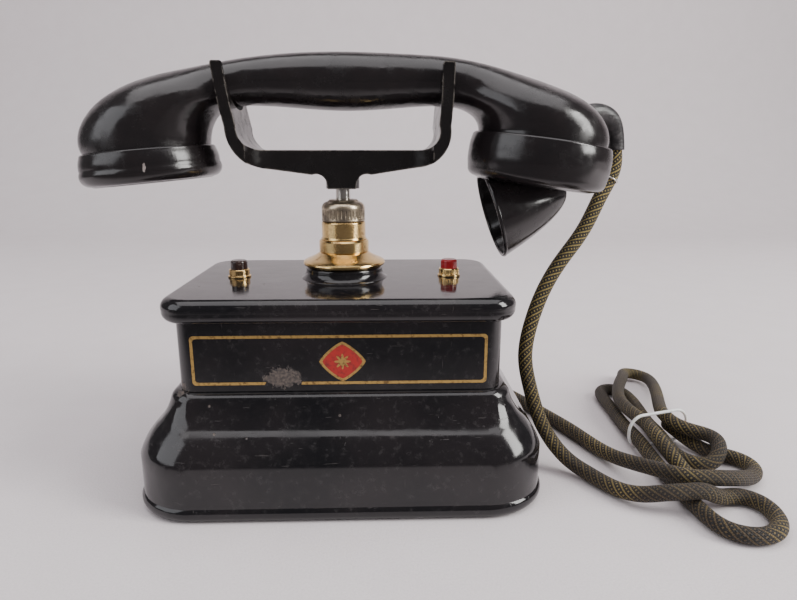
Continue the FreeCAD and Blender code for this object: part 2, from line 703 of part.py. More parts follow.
def crank_knob():
    """Turned knob that spins on its pin."""
    y = CRANK_ARM_Y + 4.15
    return turned_about_y([(2.0 + RUN, y), (5.2, y), (5.8, y + 1.6, 5.8, y + 0.6),
                           (6.4, y + 12.0, 4.6, y + 6.0),
                           (7.2, y + 17.0, 7.4, y + 14.6),
                           (4.6, y + 21.6, 6.6, y + 20.4), (2.0 + RUN, y + 21.7)],
                          GEN_X, KNOB_Z)


# ---------------------------------------------------------------- bell
YOKE_Z = 50.0
COIL_Y = 12.0
CLAPPER_PIVOT_Z = 16.5


def ringer_frame():
    """Bracket with the armature's ears at its foot and the yoke on top."""
    bed = box(BELL_X - 14, BELL_X + 20, -22, 22, FLOOR, FLOOR + 2)
    back = box(BELL_X + 16, BELL_X + 18.5, -12, 12, FLOOR, YOKE_Z + 2.5)
    yoke = box(BELL_X - 8, BELL_X + 18.5, -27, 27, YOKE_Z, YOKE_Z + 2.5)
    ears = [box(BELL_X + x, BELL_X + x + 2, -4, 4, FLOOR, CLAPPER_PIVOT_Z + 4)
            for x in (-9, 7)]
    frame = fuse(bed, back, yoke, ears[0], ears[1])
    slot = box(BELL_X - 3, BELL_X + 3, -5, 5, YOKE_Z - 1, YOKE_Z + 4)
    pin_hole = rod(1.2, (BELL_X - 10, 0, CLAPPER_PIVOT_Z), (BELL_X + 10, 0, CLAPPER_PIVOT_Z))
    return cut(frame, slot, pin_hole)


def ringer_magnet():
    """Bar magnet that polarises the bell's armature."""
    return box(BELL_X + 18.5, BELL_X + 22.0, -6, 6, 6.0, 46.0)


def ringer_coils():
    """Two wound bobbins, each on its iron core."""
    pieces = []
    for sign in (-1, 1):
        y = sign * COIL_Y
        pieces.append(turned([(3.0, 24.0), (9.0, 24.0), (9.0, 25.2), (8.3, 25.2),
                              (8.3, 44.8), (9.0, 44.8), (9.0, 46.0), (3.0, 46.0)],
                             BELL_X, y))
        pieces.append(rod(3.0, (BELL_X, y, 20.5), (BELL_X, y, YOKE_Z)))
    return Part.makeCompound(pieces)


def clapper():
    """Rocking armature with the hammer rod and ball."""
    bar = box(BELL_X - 4.5, BELL_X + 4.5, -17, 17, CLAPPER_PIVOT_Z - 1.6,
              CLAPPER_PIVOT_Z + 1.6)
    boss = rod(3.0, (BELL_X - 6.5, 0, CLAPPER_PIVOT_Z), (BELL_X + 6.5, 0, CLAPPER_PIVOT_Z))
    stem = rod(0.9, (BELL_X, 0, CLAPPER_PIVOT_Z), (BELL_X, 0, STRIKE_Z))
    hammer = fuse(bar, boss, stem, ball(2.5, (BELL_X, 0, STRIKE_Z)))
    return hammer.cut(rod(1.2 + RUN, (BELL_X - 9, 0, CLAPPER_PIVOT_Z),
                          (BELL_X + 9, 0, CLAPPER_PIVOT_Z)))


def pivot_pins():
    """Fixed pins that the switch lever and the clapper rock on."""
    y = SWITCH_PIVOT_Y
    return Part.makeCompound([
        rod(1.5, (-9.5, y, SWITCH_PIVOT_Z), (9.5, y, SWITCH_PIVOT_Z)),
        rod(1.2, (BELL_X - 10, 0, CLAPPER_PIVOT_Z), (BELL_X + 10, 0, CLAPPER_PIVOT_Z))])


def gongs():
    bowls = []
    for sign in (-1, 1):
        bowls.append(turned([(2.1, 73.0), (5.5, 73.0), (GONG_R, 58.0, 14.6, 68.4),
                             (GONG_R - 1.3, 58.0), (5.0, 71.6, 13.6, 67.3), (2.1, 71.6)],
                            BELL_X, sign * GONG_Y))
    return Part.makeCompound(bowls)


def gong_posts():
    """Shouldered posts with the round nuts that hold the gongs."""
    pieces = []
    for sign in (-1, 1):
        y = sign * GONG_Y
        pieces.append(fuse(rod(3.2, (BELL_X, y, YOKE_Z + 2.5), (BELL_X, y, 71.6)),
                           rod(2.1, (BELL_X, y, 71.6), (BELL_X, y, 75.0))))
        nut = rod(3.8, (BELL_X, y, 73.0), (BELL_X, y, 76.2))
        pieces.append(nut.cut(rod(2.1, (BELL_X, y, 72), (BELL_X, y, 75))))
    return Part.makeCompound(pieces)


# ---------------------------------------------------------------- talking circuit
COIL_CENTRE = (-48.2, 13.5)     # y and z of the induction coil


def induction_bobbin():
    """Wooden bobbin standing on the bottom plate, with its core of iron wires."""
    y, z = COIL_CENTRE
    cheeks = [box(x, x + 3, y - 8.5, y + 8.5, FLOOR, z + 8.5) for x in (-38, 25)]
    tube = rod(3.6, (-38, y, z), (28, y, z))
    bobbin = fuse(tube, cheeks[0], cheeks[1]).cut(rod(2.6, (-45, y, z), (35, y, z)))
    return Part.makeCompound([bobbin, rod(2.6, (-44, y, z), (34, y, z))])


def induction_winding():
    y, z = COIL_CENTRE
    return rod(7.6, (-35, y, z), (25, y, z)).cut(rod(3.6, (-36, y, z), (26, y, z)))


def capacitor():
    """Sheet metal can with rounded edges and a clamped lid."""
    can = box(24, 62, 32, 52, FLOOR, 30)
    can = can.makeFillet(1.5, [e for e in can.Edges if abs(e.tangentAt(0).z) > 0.9])
    return can.fuse(box(26, 60, 34, 50, 30, 31.2))


def terminal_strip():
    """Moulded strip with a post for each screw."""
    strip = box(TERMINAL_X - 6, TERMINAL_X + 6, -30, 30, FLOOR, 9.0)
    for y in TERMINAL_YS:
        strip = strip.fuse(rod(4.0, (TERMINAL_X, y, 9.0), (TERMINAL_X, y, TERMINAL_TOP)))
        strip = strip.cut(rod(SCREW_R, (TERMINAL_X, y, FLOOR + 1), (TERMINAL_X, y, 12)))
    return strip.removeSplitter()


def wiring():
    """Insulated wires from the terminal strip to the coil and the capacitor."""
    wires = []
    for i, lift in enumerate((0.0, 2.4)):
        y = -25 + 10 * i
        wires.append(pipe([(-64.2, y, 6.0 + lift), (-60, y - 6, 5.0 + lift),
                           (-56, -38, 5.0 + lift), (-48, -43 + 2 * i, 5.0 + lift),
                           (-38.2, -44 + 2 * i, 5.0 + lift)], 0.9))
    wires.append(pipe([(-64.2, 25, 6.0), (-58, 33, 5.0), (-30, 40, 5.0),
                       (0, 43, 5.0), (23.0, 44, 6.0)], 0.9))
    return Part.makeCompound(wires)


# ---------------------------------------------------------------- handset
# Each station is (top x, top z, under x, under z, half width): a cross-section of the
# handset from the receiver's seam, over the handle, to the transmitter's seam.
STATIONS = [
    (-113.1, 145.3, -59.2, 150.5, RECEIVER_R),
    (-113.3, 156.0, -58.4, 156.0, 26.9),
    (-107.7, 164.4, -56.8, 160.0, 26.0),
    (-97.8, 172.0, -54.1, 163.4, 23.8),
    (-82.5, 178.4, -49.9, 165.7, 19.7),
    (-65.4, 182.4, -43.5, 166.8, 14.4),
    (-48.0, 185.7, -36.0, 166.9, HANDLE_HALF_WIDTH),
    (-26.0, 188.4, -22.0, 166.1, HANDLE_HALF_WIDTH),
    (2.0, 189.4, 2.0, 164.8, HANDLE_HALF_WIDTH + 0.5),
    (30.0, 188.5, 27.0, 166.1, HANDLE_HALF_WIDTH),
    (50.0, 187.0, 42.0, 166.9, HANDLE_HALF_WIDTH),
    (65.4, 184.0, 50.4, 166.3, 14.4),
    (80.4, 179.6, 55.8, 164.6, 19.6),
    (95.8, 174.3, 59.2, 162.4, 24.6),
    (109.0, 167.8, 61.0, 160.0, 27.8),
    (117.3, 159.4, 61.7, 157.8, 28.8),
    (119.4, 148.4, 61.9, 156.2, TRANSMITTER_R)]


def oval_half(station, side, count=13):
    """Points down one side of a station's oval, from its top to its underside."""
    top_x, top_z, under_x, under_z, half_width = station
    middle = Vector((top_x + under_x) / 2, 0, (top_z + under_z) / 2)
    up = Vector(top_x - under_x, 0, top_z - under_z) * 0.5
    angles = [math.pi * i / (count - 1) for i in range(count)]
    return [middle + up * math.cos(a) + Y_AXIS * (side * half_width * math.sin(a))
            for a in angles]


def handset_solid():
    """Smooth skin through all the stations, closed by a flat face at each seam."""
    halves = []
    for side in (1, -1):
        surface = Part.BSplineSurface()
        surface.interpolate([oval_half(station, side) for station in STATIONS])
        halves.append(surface.toShape())
    ends = []
    for top_x, top_z, under_x, under_z, _ in (STATIONS[0], STATIONS[-1]):
        tips = (Vector(top_x, 0, top_z), Vector(under_x, 0, under_z))
        rim = [edge for half in halves for edge in half.Edges
               if all(min((vertex.Point - tip).Length for tip in tips) < 0.001
                      for vertex in edge.Vertexes)]
        ends.append(Part.Face(Part.Wire(Part.__sortEdges__(rim))))
    return Part.makeSolid(Part.makeShell(halves + ends))


def capsule_bay(seam, tilt):
    """Round hollow in a case for its capsule."""
    return tilted(rod(24.6, (0, 0, -1), (0, 0, 8)), seam, tilt)


def handset_body():
    body = cut(handset_solid(), capsule_bay(RECEIVER_SEAM, RECEIVER_TILT),
               capsule_bay(TRANSMITTER_SEAM, TRANSMITTER_TILT))
    wire_way = pipe([(-86, 0, 154), (-64, 0, 170), (-40, 0, 176), (0, 0, 177.5),
                     (40, 0, 176), (67, 0, 170), (90, 0, 157)], 2.4)
    return body.cut(wire_way)


def receiver_cap():
    """Screwed ear cap with a dished face and sound holes."""
    outer = RECEIVER_R + CAP_RIM
    cap = turned([(24.8, -TOUCH), (outer - 2.3, -TOUCH), (outer - 1, -1.2, outer - 1.3, -0.4),
                  (outer, -7.4, outer - 0.1, -4.2),
                  (outer - 3.7, -13.8, outer - 0.5, -12.2),
                  (outer - 7.0, -14.0, outer - 5.4, -14.3),
                  (6.0, -11.2), (0, -11.2), (0, -9.4), (22.6, -9.8), (24.8, -9.0)])
    holes = [(0.0, 0.0)] + [(8.0 * math.cos(math.radians(a)), 8.0 * math.sin(math.radians(a)))
                            for a in range(0, 360, 60)]
    for x, y in holes:
        cap = cap.cut(rod(1.3, (x, y, -15), (x, y, -8)))
    return tilted(cap, RECEIVER_SEAM, RECEIVER_TILT)


def receiver_unit():
    """Magnet pot of the receiver."""
    pot = turned([(0, 7.9), (18.0, 7.9), (24.4, 4.0), (24.4, -4.6), (21.6, -4.6),
                  (21.6, 2.0), (0, 2.0)])
    poles = [box(x, x + 4, -6, 6, -4.2, 2.2) for x in (-7, 3)]
    return tilted(fuse(pot, poles[0], poles[1]), RECEIVER_SEAM, RECEIVER_TILT)


def receiver_diaphragm():
    return tilted(rod(24.4, (0, 0, -5.2), (0, 0, -4.7)), RECEIVER_SEAM, RECEIVER_TILT)


def transmitter_cap():
    """Deep cap that carries the horn."""
    outer = TRANSMITTER_R + CAP_RIM + 0.4
    cap = turned([(25.2, -TOUCH), (outer - 2.5, -TOUCH), (outer - 0.7, -1.4, outer - 1.1, -0.4),
                  (outer, -8.0, outer - 0.1, -4.6),
                  (outer - 0.7, -15.4, outer - 0.1, -12.0),
                  (28.0, -19.4, 30.6, -17.9),
                  (24.8, -20.4), (0, -20.4), (0, -17.4), (22.6, -17.4), (25.2, -15.0)])
    for x in (-8.0, 0.0, 8.0):
        for y in (-8.0, 0.0, 8.0):
            cap = cap.cut(rod(1.5, (x, y, -21), (x, y, -17)))
    return tilted(cap, TRANSMITTER_SEAM, TRANSMITTER_TILT)


def horn_bowl(mouth_radius, depth):
    """Paraboloid that opens along the horn's axis, drawn with its mouth at the origin."""
    count = 8
    points = []
    for i in range(count + 1):
        reach = depth * math.sin(math.pi / 2 * i / count)
        points.append((mouth_radius * math.sqrt(max(0.0, 1 - reach / depth)), 0, reach))
    rim = Vector(*points[0])
    apex = Vector(*points[-1])
    origin = Vector(0, 0, 0)
    face = Part.Face(Part.Wire([spline(points), Part.makeLine(apex, origin),
                                Part.makeLine(origin, rim)]))
    bowl = face.revolve(origin, Z_AXIS, 360)
    bowl.rotate(origin, Y_AXIS, 90 - HORN_TILT)
    bowl.translate(Vector(HORN_MOUTH[0], 0, HORN_MOUTH[1]))
    return bowl


def transmitter_horn():
    """Mouth horn, cut off flat where it joins the cap's face."""
    horn = horn_bowl(HORN_R, HORN_DEPTH).cut(horn_bowl(HORN_R - HORN_WALL, HORN_DEPTH - 2.4))
    above = tilted(box(-70, 70, -40, 40, -20.4 - TOUCH, 60), TRANSMITTER_SEAM,
                   TRANSMITTER_TILT)
    horn = horn.cut(above)
    rim = Part.makeTorus(HORN_R - HORN_WALL / 2, HORN_WALL / 2 + 0.15)
    rim.rotate(Vector(0, 0, 0), Y_AXIS, 90 - HORN_TILT)
    rim.translate(Vector(HORN_MOUTH[0], 0, HORN_MOUTH[1]))
    return horn.fuse(rim.cut(above))


def transmitter_capsule():
    """Carbon capsule: cup, clamped rim and back electrode."""
    cup = turned([(0, 6.0), (8.0, 6.0), (8.0, 3.0), (22.0, 2.0), (24.4, 0.0),
                  (24.4, -5.0), (22.0, -7.0), (0, -7.0)])
    return tilted(cup, TRANSMITTER_SEAM, TRANSMITTER_TILT)


# ---------------------------------------------------------------- cords
ON_TABLE = CORD_R + 0.4     # centre height of a length that lies on the table
CROSSING = 11.0             # centre height where it lies over another length
TIE_LOW = 5.3               # heights inside the tie, which passes under the hank
TIE_HIGH = 12.4

SLEEVE_PATH = [(112.6, 10.4, 163.6), (119.6, 13.4, 165.2), (127.4, 16.8, 162.4),
               (131.2, 19.4, 155.4), (132.4, 20.2, 148.0)]
HANG_PATH = [(132.3, 20.1, 147.3), (131.4, 18.2, 137.6), (126.4, 15.8, 128.6),
             (116.0, 10.4, 110.0), (104.6, 5.2, 96.0), (95.7, 1.5, 82.0),
             (89.3, -2.5, 66.0), (86.6, -6.0, 50.0), (88.4, -9.6, 38.0),
             (93.0, -15.6, 22.0), (101.0, -23.0, 9.6), (110.6, -32.6, 4.2)]

# The spare length: across the table, round the front loop, then twice up and down the
# hank with a loop at each end.
HANK_PATH = [(111.2, -33.6, 4.1), (116, -42, ON_TABLE), (121.4, -50, 4.4), (128, -56.6, 6.8),
             (135.5, -60.6, 10), (143, -61.8, CROSSING), (149.5, -61.2, CROSSING),
             (156, -58.6, 7.4), (162, -55.6, 4.4), (169, -54, ON_TABLE),
             (175, -58, ON_TABLE), (176.5, -68, ON_TABLE), (171, -78.5, ON_TABLE),
             (160, -82, ON_TABLE), (151.5, -77.5, ON_TABLE), (148, -66, ON_TABLE),
             (147, -54, ON_TABLE), (147, -40, ON_TABLE), (147, -24, ON_TABLE),
             (147, -5, TIE_LOW), (148, 17, ON_TABLE), (149.5, 40, ON_TABLE),
             (150.4, 57, ON_TABLE), (153, 64.5, ON_TABLE), (158, 67, ON_TABLE),
             (163, 64.5, ON_TABLE), (165.4, 57, ON_TABLE), (165, 42, ON_TABLE),
             (162, 18, ON_TABLE), (160, -2, TIE_LOW), (160, -16, ON_TABLE),
             (164, -25, ON_TABLE), (171, -28.4, 4.6), (177.6, -23.6, 8.8),
             (180, -15, CROSSING), (175, -9, 11.4), (169, -4, 11.8), (166, 5, TIE_HIGH),
             (170, 23, CROSSING), (181, 51, 8), (188.2, 74, 5.6), (188.8, 84, 4.8),
             (184.6, 90.6, 4.6), (178.4, 90.4, 5.4), (173.8, 83.6, 7), (163, 61, CROSSING),
             (153, 38, CROSSING), (151, 18, 11.4), (152, 0, TIE_HIGH), (152, -20, 10.6),
             (155, -34, 5.6), (156, -43, ON_TABLE)]
EXIT_PATH = [(CORD_EXIT[0], BASE_HALF_Y - 8, CORD_EXIT[1]),
             (CORD_EXIT[0], BASE_HALF_Y - 2, CORD_EXIT[1]),
             (CORD_EXIT[0], BASE_HALF_Y + 4, CORD_EXIT[1]),
             (53, 73, 12.4), (65, 79, 7), (82, 75, 4.2), (99, 52, ON_TABLE), (110, 28, ON_TABLE),
             (118.5, 8, ON_TABLE), (123.8, -7.5, ON_TABLE), (128.4, -20.4, 5.0),
             (132.9, -31.4, 7.6), (137.7, -40.2, 9.8), (143, -47.6, 11.4),
             (149.5, -52.4, 12), (157, -53.4, 12.2), (166, -51.6, 10.8), (175, -46.6, 7.8),
             (184, -40, 4.6), (189.6, -33, ON_TABLE), (189.6, -25.6, ON_TABLE),
             (185, -19.6, ON_TABLE), (178.6, -15, ON_TABLE), (174, -6, 4.2),
             (171, 6, TIE_LOW), (171, 17, 4.4)]


def cord_sleeve():
    """Rubber sleeve that guides the cord out of the transmitter case."""
    return pipe(SLEEVE_PATH, CORD_R + 0.9)


def handset_cord():
    """Hanging length of the cord, from the handset's sleeve to the table."""
    return pipe(HANG_PATH, CORD_R)


def table_cord():
    """The rest of the cord: the hank on the table, and the length from the base to it."""
    return Part.makeCompound([pipe(HANK_PATH, CORD_R), pipe(EXIT_PATH, CORD_R)])


def cord_tie():
    """Cable tie pulled round the middle of the hank."""
    half_width = 18.0
    half_height = 8.35
    corner = 7.6
    bulge = corner * (1 - math.sqrt(0.5))
    flat = half_width - corner
    side = half_height - corner
    edges = []
    for sx, sz in ((1, 1), (-1, 1), (-1, -1), (1, -1)):
        from_side = Vector(sx * half_width, 0, sz * side)
        from_top = Vector(sx * flat, 0, sz * half_height)
        via = Vector(sx * (half_width - bulge), 0, sz * (half_height - bulge))
        first, last = (from_side, from_top) if sx == sz else (from_top, from_side)
        if edges:
            edges.append(Part.makeLine(edges[-1].valueAt(edges[-1].LastParameter), first))
        edges.append(Part.Arc(first, via, last).toShape())
    edges.append(Part.makeLine(last, edges[0].valueAt(edges[0].FirstParameter)))
    start = edges[-1].CenterOfMass
    ring = Part.Wire(Part.makeCircle(0.75, start, Vector(last - edges[0].Vertexes[0].Point)))
    tie = Part.Wire(edges).makePipeShell([ring], True, False)
    tie.rotate(Vector(0, 0, 0), Z_AXIS, 17)
    tie.translate(Vector(159.2, 1.0, half_height + 0.85))
    return tie


NODES = {
    # housing
    "base_moulding": base_moulding, "body_case": body_case, "lid": lid,
    "base_plate": base_plate, "felt_pad": felt_pad, "screws": screws, "cord_bush": cord_bush,
    # column and cradle
    "column_flange": column_flange, "column_sleeve": column_sleeve,
    "column_locknut": column_locknut, "column_nut": column_nut,
    "plunger_rod": plunger_rod, "rod_collar": rod_collar, "return_spring": return_spring,
    "cradle_fork": cradle_fork,
    # buttons and switch
    "button_black": lambda: button(-1), "button_red": lambda: button(1),
    "collar_plain": lambda: button_collar(-1, False),
    "collar_knurled": lambda: button_collar(1, True),
    "button_springs": button_springs, "contact_blocks": contact_blocks,
    "leaf_contacts": leaf_contacts, "switch_bracket": switch_bracket,
    "switch_lever": switch_lever, "pivot_pins": pivot_pins,
    # generator
    "generator_bed": generator_bed, "pole_pieces": pole_pieces,
    "magneto_magnets": magneto_magnets, "generator_end_plates": generator_end_plates,
    "armature": armature, "armature_winding": armature_winding,
    "armature_pinion": armature_pinion, "drive_gear": drive_gear,
    "crank_shaft": crank_shaft, "crank_bush": crank_bush, "crank_arm": crank_arm,
    "knob_pin": knob_pin, "crank_knob": crank_knob,
    # bell
    "ringer_frame": ringer_frame, "ringer_magnet": ringer_magnet,
    "ringer_coils": ringer_coils, "clapper": clapper, "gongs": gongs,
    "gong_posts": gong_posts,
    # talking circuit
    "induction_bobbin": induction_bobbin, "induction_winding": induction_winding,
    "capacitor": capacitor, "terminal_strip": terminal_strip, "wiring": wiring,
    # handset
    "handset_body": handset_body, "receiver_cap": receiver_cap,
    "receiver_unit": receiver_unit, "receiver_diaphragm": receiver_diaphragm,
    "transmitter_cap": transmitter_cap, "transmitter_horn": transmitter_horn,
    "transmitter_capsule": transmitter_capsule, "cord_sleeve": cord_sleeve,
    # cords
    "handset_cord": handset_cord, "table_cord": table_cord, "cord_tie": cord_tie,
}


def main():
    os.makedirs("parts", exist_ok=True)
    for name, make in NODES.items():
        shape = make()
        volume = sum(s.Volume for s in shape.Solids)
        print(f"{name}: {len(shape.Solids)} solid(s), {volume / 1000:.2f} cm3, "
              f"valid {shape.isValid()}")
        shape.exportStep(f"parts/{name}.step")


main()
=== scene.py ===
import json
import math

import bmesh
import bpy
import numpy as np
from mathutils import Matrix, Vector


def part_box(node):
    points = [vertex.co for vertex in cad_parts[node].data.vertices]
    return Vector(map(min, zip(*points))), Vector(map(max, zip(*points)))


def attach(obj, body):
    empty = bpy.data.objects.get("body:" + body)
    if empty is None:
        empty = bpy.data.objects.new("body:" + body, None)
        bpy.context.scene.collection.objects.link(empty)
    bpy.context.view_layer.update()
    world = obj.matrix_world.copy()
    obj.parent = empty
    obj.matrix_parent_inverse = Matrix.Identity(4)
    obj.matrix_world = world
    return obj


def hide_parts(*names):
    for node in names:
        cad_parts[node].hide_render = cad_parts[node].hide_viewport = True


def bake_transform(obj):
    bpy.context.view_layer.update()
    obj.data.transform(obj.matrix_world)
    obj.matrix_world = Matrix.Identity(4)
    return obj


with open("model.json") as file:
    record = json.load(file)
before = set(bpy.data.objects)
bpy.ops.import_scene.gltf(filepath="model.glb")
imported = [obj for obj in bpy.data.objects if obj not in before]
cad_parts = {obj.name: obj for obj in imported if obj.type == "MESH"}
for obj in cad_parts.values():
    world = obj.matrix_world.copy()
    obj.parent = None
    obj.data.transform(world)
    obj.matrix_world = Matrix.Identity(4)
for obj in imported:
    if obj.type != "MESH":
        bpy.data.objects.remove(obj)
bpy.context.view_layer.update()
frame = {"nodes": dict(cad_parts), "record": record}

# Vintage desk telephone: materials, the painted decoration on the case, the braided cord
# with its hank, the springs and contact leaves as separate pieces, the brass foot of the column,
# and a plain studio. Metres, +X right, +Y back, +Z up.

NODES = frame["nodes"]
MM = 0.001
WELD_GAP = 0.004 * MM                   # points of a CAD mesh closer than this are one
WAVE_PERIOD = 0.314                     # Blender's wave bands repeat this often at scale 1


# ---------------------------------------------------------------- material builder
class Paint:
    """A procedural material being put together. Sizes of patterns are in millimetres."""

    def __init__(self, name):
        self.material = bpy.data.materials.new(name)
        self.material.use_nodes = True
        self.tree = self.material.node_tree
        self.shader = self.tree.nodes["Principled BSDF"]
        self.place = self.node("ShaderNodeTexCoord").outputs["Object"]

    def node(self, kind, inputs=None, **settings):
        """New shader node with its settings made and its inputs filled."""
        made = self.tree.nodes.new(kind)
        for key, value in settings.items():
            setattr(made, key, value)
        for key, value in (inputs or {}).items():
            self.put(made.inputs[key], value)
        return made

    def put(self, socket, value):
        """Link another node's output to a socket, or set the socket's own value."""
        if isinstance(value, bpy.types.NodeSocket):
            self.tree.links.new(value, socket)
        elif socket.type == "RGBA" and len(value) == 3:
            socket.default_value = (*value, 1.0)
        else:
            socket.default_value = value

    def math(self, operation, first, second=0.0):
        """Result of one sum on one or two values."""
        made = self.node("ShaderNodeMath", {0: first, 1: second}, operation=operation)
        return made.outputs[0]

    def stretched(self, stretch):
        """Places on the object with each axis scaled."""
        made = self.node("ShaderNodeMapping", {"Vector": self.place, "Scale": stretch})
        return made.outputs["Vector"]

    def noise(self, size, detail=4.0, stretch=(1, 1, 1), rough=0.5):
        """Cloudy pattern."""
        made = self.node("ShaderNodeTexNoise", {
            "Vector": self.stretched(stretch), "Scale": 1 / (size * MM),
            "Detail": detail, "Roughness": rough})
        return made.outputs["Fac"]

    def cells(self, size):
        """Distance from the nearest of many scattered points."""
        made = self.node("ShaderNodeTexVoronoi", {
            "Vector": self.place, "Scale": 1 / (size * MM)})
        return made.outputs["Distance"]

    def rings(self, size, direction, distortion):
        """Parallel bands across a direction, as far apart as the size."""
        made = self.node("ShaderNodeTexWave", {
            "Vector": self.place, "Scale": WAVE_PERIOD / (size * MM), "Distortion": distortion,
            "Detail": 2.0}, bands_direction=direction)
        return made.outputs["Fac"]

    def fade(self, value, low, high, start=0.0, end=1.0):
        """Smooth change from start, where the value is low, to end, where it is high."""
        made = self.node("ShaderNodeMapRange", {
            "Value": value, "From Min": low, "From Max": high, "To Min": start,
            "To Max": end}, interpolation_type="SMOOTHSTEP")
        return made.outputs["Result"]

    def mix(self, factor, first, second):
        """Colour between two others."""
        made = self.node("ShaderNodeMix", data_type="RGBA")
        self.put(made.inputs[0], factor)
        self.put(made.inputs[6], first)
        self.put(made.inputs[7], second)
        return made.outputs[2]

    def choose(self, factor, first, second):
        """Value between two others."""
        made = self.node("ShaderNodeMix", data_type="FLOAT")
        self.put(made.inputs[0], factor)
        self.put(made.inputs[2], first)
        self.put(made.inputs[3], second)
        return made.outputs[0]

    def bump(self, height, depth):
        """Relief of the given depth in millimetres; calls stack on one another."""
        made = self.node("ShaderNodeBump", {
            "Height": height, "Distance": depth * MM, "Strength": 1.0})
        if self.shader.inputs["Normal"].is_linked:
            self.put(made.inputs["Normal"], self.shader.inputs["Normal"].links[0].from_socket)
        self.put(self.shader.inputs["Normal"], made.outputs["Normal"])

    def surface(self, **values):
        """Fill the shader's own inputs; an underscore stands for a space."""
        for key, value in values.items():
            self.put(self.shader.inputs[key.replace("_", " ")], value)

    def edges(self, radius):
        """1 on sharp convex or concave edges, 0 on flat and gently curved faces."""
        soft = self.node("ShaderNodeBevel", {"Radius": radius * MM}, samples=4)
        true = self.node("ShaderNodeNewGeometry").outputs["Normal"]
        dot = self.node("ShaderNodeVectorMath", {0: soft.outputs["Normal"], 1: true},
                        operation="DOT_PRODUCT").outputs["Value"]
        return self.fade(dot, 0.97, 0.75)

    def spot(self, centre, size):
        """0 at the centre of a ragged patch, growing past 1 outside it."""
        offset = self.node("ShaderNodeVectorMath", {0: self.place, 1: tuple(centre)},
                           operation="SUBTRACT").outputs["Vector"]
        scaled = self.node("ShaderNodeVectorMath", {
            0: offset, 1: tuple(1 / v for v in size)}, operation="MULTIPLY").outputs["Vector"]
        return self.node("ShaderNodeVectorMath", {0: scaled},
                         operation="LENGTH").outputs["Value"]


# ---------------------------------------------------------------- finishes
def black_enamel(name):
    """Stoved black enamel: glossy, a little wavy, dusty, scratched and chipped."""
    paint = Paint(name)
    wave = paint.noise(16, 2)
    dust = paint.fade(paint.noise(3.0, 8, rough=0.7), 0.5, 0.8)
    scratch = paint.fade(paint.noise(9.0, 2, (1, 0.4, 16)), 0.71, 0.76)
    scratch_b = paint.fade(paint.noise(11.0, 2, (14, 8, 0.8)), 0.73, 0.78)
    marks = paint.math("MAXIMUM", scratch, scratch_b)
    pits = paint.fade(paint.cells(9.0), 0.08, 0.05)
    pits = paint.math("MULTIPLY", pits, paint.fade(paint.noise(30, 2), 0.58, 0.66))
    worn = paint.math("MULTIPLY", paint.edges(0.7), paint.fade(paint.noise(5, 6), 0.54, 0.66))
    for centre, size in CHIPS:
        ragged = paint.math("ADD", paint.spot(centre, size),
                            paint.math("MULTIPLY", paint.noise(2.6, 8, rough=0.75), 2.4))
        pits = paint.math("MAXIMUM", pits, paint.fade(ragged, 2.2, 2.05))
    bare = paint.math("MAXIMUM", pits, worn)
    tone = paint.mix(paint.fade(paint.noise(40, 3), 0.35, 0.7),
                     (0.005, 0.005, 0.006), (0.013, 0.011, 0.012))
    tone = paint.mix(paint.math("MULTIPLY", dust, 0.07), tone, (0.32, 0.30, 0.30))
    tone = paint.mix(paint.math("MULTIPLY", marks, 0.16), tone, (0.20, 0.18, 0.17))
    rust = paint.mix(paint.fade(paint.noise(1.2, 6), 0.35, 0.65), (0.040, 0.034, 0.032),
                     (0.12, 0.095, 0.08))
    tone = paint.mix(bare, tone, rust)
    gloss = paint.fade(paint.noise(12, 6), 0.3, 0.75, 0.07, 0.17)
    gloss = paint.math("ADD", gloss, paint.math("MULTIPLY", dust, 0.10))
    gloss = paint.math("ADD", gloss, paint.math("MULTIPLY", bare, 0.45))
    paint.surface(Base_Color=tone, Roughness=gloss, IOR=1.52)
    paint.bump(wave, 0.10)
    paint.bump(paint.math("ADD", marks, paint.math("MULTIPLY", bare, 2.5)), -0.02)
    return paint.material


def black_casting(name):
    """Thick gloss paint over a casting, rubbed bare on its edges."""
    paint = Paint(name)
    worn = paint.math("MULTIPLY", paint.edges(1.0), paint.fade(paint.noise(6, 6), 0.40, 0.54))
    tone = paint.mix(paint.noise(25, 4), (0.004, 0.004, 0.004), (0.012, 0.010, 0.010))
    tone = paint.mix(worn, tone, (0.55, 0.50, 0.44))
    gloss = paint.fade(paint.noise(6, 6), 0.3, 0.75, 0.14, 0.32)
    paint.surface(Base_Color=tone, Roughness=gloss, IOR=1.45,
                  Metallic=paint.math("MULTIPLY", worn, 0.9))
    paint.bump(paint.noise(7, 3), 0.14)
    paint.bump(paint.noise(1.2, 3), 0.010)
    return paint.material


def bakelite(name):
    """Dark bakelite, half polished by handling, with faint swirls and one small nick."""
    paint = Paint(name)
    swirl = paint.noise(22, 6, (1, 1.6, 1), 0.6)
    grease = paint.fade(paint.noise(10, 7, rough=0.65), 0.38, 0.72)
    ragged = paint.math("ADD", paint.spot(*NICK),
                        paint.math("MULTIPLY", paint.noise(1.1, 6), 1.2))
    nick = paint.fade(ragged, 1.6, 1.4)
    tone = paint.mix(swirl, (0.005, 0.005, 0.006), (0.016, 0.012, 0.012))
    tone = paint.mix(nick, tone, (0.20, 0.17, 0.16))
    gloss = paint.math("ADD", paint.fade(grease, 0, 1, 0.17, 0.31),
                       paint.math("MULTIPLY", nick, 0.3))
    paint.surface(Base_Color=tone, Roughness=gloss, IOR=1.55)
    paint.bump(paint.noise(20, 2), 0.09)
    paint.bump(paint.noise(0.9, 4), 0.006)
    paint.bump(nick, -0.15)
    return paint.material


